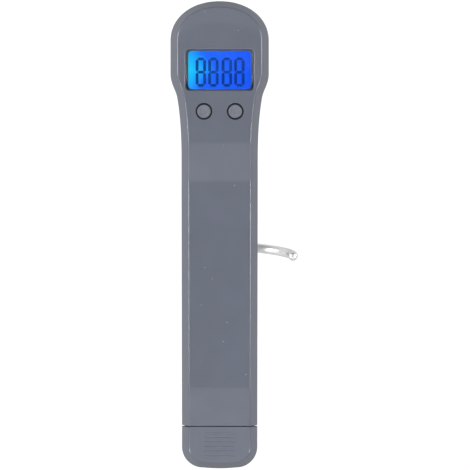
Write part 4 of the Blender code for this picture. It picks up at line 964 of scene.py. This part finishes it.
def makeButton(name, node):
    shape = buttonShape
    low, high = spanOf(node)
    top, radius, soft = high.z, shape["radius"], shape["soft"]
    stem, flange = shape["stemRadius"], shape["flangeRadius"]
    shelf = top - shape["flangeDrop"]
    profile = [(0.0, low.z), (stem - 0.2, low.z), (stem, low.z + 0.2), (stem, shelf - 1.0),
               (flange - 0.1, shelf - 1.0), (flange, shelf - 0.9), (flange, shelf - 0.1), (flange - 0.1, shelf),
               (radius, shelf), (radius, top - soft)]
    for degrees in (15.0, 30.0, 45.0, 60.0, 75.0, 90.0):
        angle = math.radians(degrees)
        profile.append((radius - soft + soft * math.cos(angle), top - soft + soft * math.sin(angle)))
    hollow = radius - soft - shape["rimWidth"] * 0.3
    for step in range(1, 9):
        share = step / 8.0
        profile.append((hollow * (1.0 - share), top - shape["dish"] * (1.0 - (1.0 - share) ** 2)))
    body = turned(profile, ((low.x + high.x) / 2.0, (low.y + high.y) / 2.0, 0.0), steps=72)
    return finishPiece(name, body, node, buttonPlastic, (node,), 40.0)


makeButton("powerButton", "power_button")
makeButton("unitButton", "unit_button")
print("buttons made")


# ---- liner of the hook slot

trimShape = {"flangeX": 9.7, "flangeY": 11.6, "flangeCorner": 3.0, "sleeveX": 8.9, "sleeveY": 10.2,
             "sleeveCorner": 2.3, "clearX": 8.0, "clearY": 9.31, "clearCorner": 1.4, "flange": 0.8, "soft": 0.22}


def makeSlotTrim():
    shape = trimShape
    trim = slab(roundedOutline(shape["flangeX"], shape["flangeY"], shape["flangeCorner"]),
                trimLow.z, trimLow.z + shape["flange"])
    sleeve = slab(roundedOutline(shape["sleeveX"], shape["sleeveY"], shape["sleeveCorner"]),
                  trimLow.z + 0.4, trimHigh.z)
    trim = carve(trim, [sleeve], "UNION")
    clear = slab(roundedOutline(shape["clearX"], shape["clearY"], shape["clearCorner"]),
                 trimLow.z - 3.0, trimHigh.z + 3.0)
    trim = carve(trim, [clear])
    bmesh.ops.dissolve_limit(trim, angle_limit=math.radians(1.0), verts=trim.verts, edges=trim.edges)
    softenEdges(trim, shape["soft"], 2, 60.0)
    return finishPiece("slotTrim", trim, "root", darkPlastic, ("slot_trim",), 40.0)


makeSlotTrim()


# ---- case screws in their wells

screwShape = {"radius": 1.9, "height": 1.6, "shank": 1.2, "crossArm": 1.15, "crossWidth": 0.34,
              "crossDepth": 0.8}


def makeCaseScrew(number):
    shape = screwShape
    node = "case_screw_%d" % number
    low, high = spanOf(node)
    x, y = caseScrews[number - 1]
    base = low.z
    seat = base + shape["height"]
    radius = shape["radius"]
    profile = [(0.0, base)]
    for degrees in (25.0, 45.0, 65.0, 90.0):
        angle = math.radians(degrees)
        profile.append((radius * math.sin(angle), base + shape["height"] * 0.55 * (1.0 - math.cos(angle))))
    shank = shape["shank"]
    profile += [(radius, seat), (shank, seat), (shank, high.z - 1.2), (0.4, high.z), (0.0, high.z)]
    screw = turned(profile, (x, y, 0.0), steps=32)
    arm, thin = shape["crossArm"], shape["crossWidth"] / 2.0
    cross = boxSolid((x - arm, y - thin, base - 1.0), (x + arm, y + thin, base + shape["crossDepth"]))
    other = boxSolid((x - thin, y - arm, base - 1.0), (x + thin, y + arm, base + shape["crossDepth"]))
    screw = carve(screw, [cross, other])
    return finishPiece("caseScrew%d" % number, screw, "root", fastenerSteel, (node,), 40.0)


for number in range(1, 7):
    makeCaseScrew(number)
print("slot liner and case screws made")


# ---- hook, stirrup, washer and nut, in a frame whose origin is the pin and whose -Z runs down the shank

hookShape = {"pivotZ": -8.0, "swing": 6.4, "swivel": -5.7, "wire": 2.0, "bend": 15.6, "bendZ": -39.0,
             "tipRise": 3.0, "bendSteps": 44, "earInner": 5.6, "earOuter": 7.1, "earHalf": 3.3,
             "drop": 13.3, "base": 2.0, "earHole": 2.3, "soft": 0.35,
             "washerLow": -11.0, "washer": 0.8, "washerRadius": 3.9,
             "nutLow": -9.9, "nutHigh": -6.9, "nutWidth": 7.0, "bore": 2.3, "shankTop": -6.4}

swingFrame = Matrix.Translation((0.0, 0.0, hookShape["pivotZ"])) @ Matrix.Rotation(
    math.radians(hookShape["swing"]), 4, "X")
swivelFrame = swingFrame @ Matrix.Rotation(math.radians(hookShape["swivel"]), 4, "Z")


def roundFoot(bm, level, width, segments):
    # round the lowest edges that run along Y
    foot = [edge for edge in bm.edges if all(vert.co.z < level + 0.1 for vert in edge.verts)
            and abs(edge.verts[0].co.x - edge.verts[1].co.x) < 0.1]
    bmesh.ops.bevel(bm, geom=foot, offset=width, affect="EDGES", segments=segments, profile=0.5, material=-1)


def makeStirrup():
    shape = hookShape
    half = shape["earHalf"]
    outline = []
    for step in range(25):
        angle = math.pi * step / 24.0
        outline.append((half * math.cos(angle), half * math.sin(angle)))
    outline += [(-half, -shape["drop"]), (half, -shape["drop"])]
    stirrup = slab(outline, -shape["earOuter"], shape["earOuter"])
    standing = Matrix.Rotation(math.pi / 2.0, 4, "Z") @ Matrix.Rotation(math.pi / 2.0, 4, "X")
    bmesh.ops.transform(stirrup, matrix=standing, verts=stirrup.verts)
    floor = shape["base"] - shape["drop"]
    space = boxSolid((-shape["earInner"], -half - 3.0, floor), (shape["earInner"], half + 3.0, half + 3.0))
    roundFoot(space, floor, 1.0, 5)
    roundFoot(stirrup, -shape["drop"], 1.6, 6)
    stirrup = carve(stirrup, [space])
    pinHole = rod(shape["earHole"], -12.0, 12.0, axis=(1.0, 0.0, 0.0))
    shankHole = rod(shape["bore"], -16.0, floor + 1.0)
    stirrup = carve(stirrup, [pinHole, shankHole])
    bmesh.ops.dissolve_limit(stirrup, angle_limit=math.radians(1.0), verts=stirrup.verts, edges=stirrup.edges)
    softenEdges(stirrup, shape["soft"] * 0.6, 2, 50.0)
    finishPiece("stirrup", stirrup, "stirrup", fastenerSteel, ("hook_stirrup",), 35.0, swingFrame)


def makeHook():
    shape = hookShape
    wire, bend, bendZ, top = shape["wire"], shape["bend"], shape["bendZ"], shape["shankTop"]
    # the centre line's x and z, and the radius there: rounded top, shank, bend, rounded tip
    path = [(0.0, top - drop, wire - less) for drop, less in ((0.0, 0.6), (0.12, 0.3), (0.3, 0.1), (0.6, 0.0))]
    path += [(0.0, top - 0.6 + (bendZ + 0.3 - top + 0.6) * step / 7.0, wire) for step in range(1, 8)]
    for step in range(shape["bendSteps"] + 1):
        angle = math.pi * (1.0 + step / shape["bendSteps"])
        path.append((bend * (1.0 + math.cos(angle)), bendZ + bend * math.sin(angle), wire))
    ball = wire * 1.02
    centre = bendZ + shape["tipRise"] - ball
    for step in range(11):
        angle = math.radians(8.2 * step)
        path.append((2.0 * bend, centre + ball * math.sin(angle), ball * math.cos(angle)))
    hook = tube([Vector((x, 0.0, z)) for x, z, radius in path], [radius for x, z, radius in path], 32)
    return finishPiece("wireHook", hook, "hook", hookSteel, ("hook",), 60.0, swivelFrame)


def makeWasherAndNut():
    shape = hookShape
    low, high = shape["washerLow"], shape["washerLow"] + shape["washer"]
    outer, bore = shape["washerRadius"], shape["bore"]
    washer = turned(((0.0, low), (outer - 0.12, low), (outer, low + 0.12), (outer, high - 0.12),
                     (outer - 0.12, high), (0.0, high)), steps=56)
    washer = carve(washer, [rod(bore, low - 1.0, high + 1.0)])
    finishPiece("washer", washer, "hook", fastenerSteel, ("hook_washer",), 35.0, swivelFrame)
    low, high = shape["nutLow"], shape["nutHigh"]
    corner = shape["nutWidth"] / 2.0 / math.cos(math.pi / 6.0)
    turns = [math.pi / 3.0 * step for step in range(6)]
    outline = [(corner * math.cos(angle), corner * math.sin(angle)) for angle in turns]
    flat, past = shape["nutWidth"] / 2.0 - 0.05, corner + 0.1
    chamfer = turned(((0.0, low), (flat, low), (past, low + 0.42), (past, high - 0.42), (flat, high),
                      (0.0, high)), steps=56)
    nut = carve(slab(outline, low, high), [chamfer], "INTERSECT")
    mouth = bore + 0.3
    hole = turned(((0.0, low - 1.0), (mouth, low - 1.0), (mouth, low + 0.001), (bore, low + 0.3),
                   (bore, high - 0.3), (mouth, high - 0.001), (mouth, high + 1.0), (0.0, high + 1.0)), steps=40)
    finishPiece("nut", carve(nut, [hole]), "hook", fastenerSteel, ("hook_nut",), 35.0, swivelFrame)


makeStirrup()
makeHook()
makeWasherAndNut()
print("hook made")


# ---- finishes on the parts kept as they are

finishes = (
    (lcdGlow, ("lcd_glass",)), (maskPlastic, ("lcd_holder",)), (contactRubber, ("zebra_strip",)),
    (lightGuide, ("backlight_panel", "backlight_led")), (boardMask, ("main_pcb",)),
    (pottingResin, ("chip_blob",)), (darkPlastic, ("power_switch", "unit_switch", "battery_tray")),
    (milledAluminium, ("load_cell", "chassis_plate")),
    (fastenerSteel, ("pcb_screw_1", "pcb_screw_2", "pcb_screw_3", "pcb_screw_4", "cell_bolt_1", "cell_bolt_2",
                     "pivot_pin", "e_clip")),
    (gaugeFoil, ("strain_gauge_front", "strain_gauge_rear")), (batterySleeve, ("battery_1", "battery_2")),
    (contactNickel, ("contact_plus", "contact_minus", "minus_spring", "bridge_contact", "bridge_spring")),
    (greyWire, ("sensor_cable",)), (redWire, ("lead_red",)), (blackWire, ("lead_black",)))

for finish, nodes in finishes:
    for node in nodes:
        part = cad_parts[node]
        part.data.materials.clear()
        part.data.materials.append(finish)
print("finishes set on the kept parts")
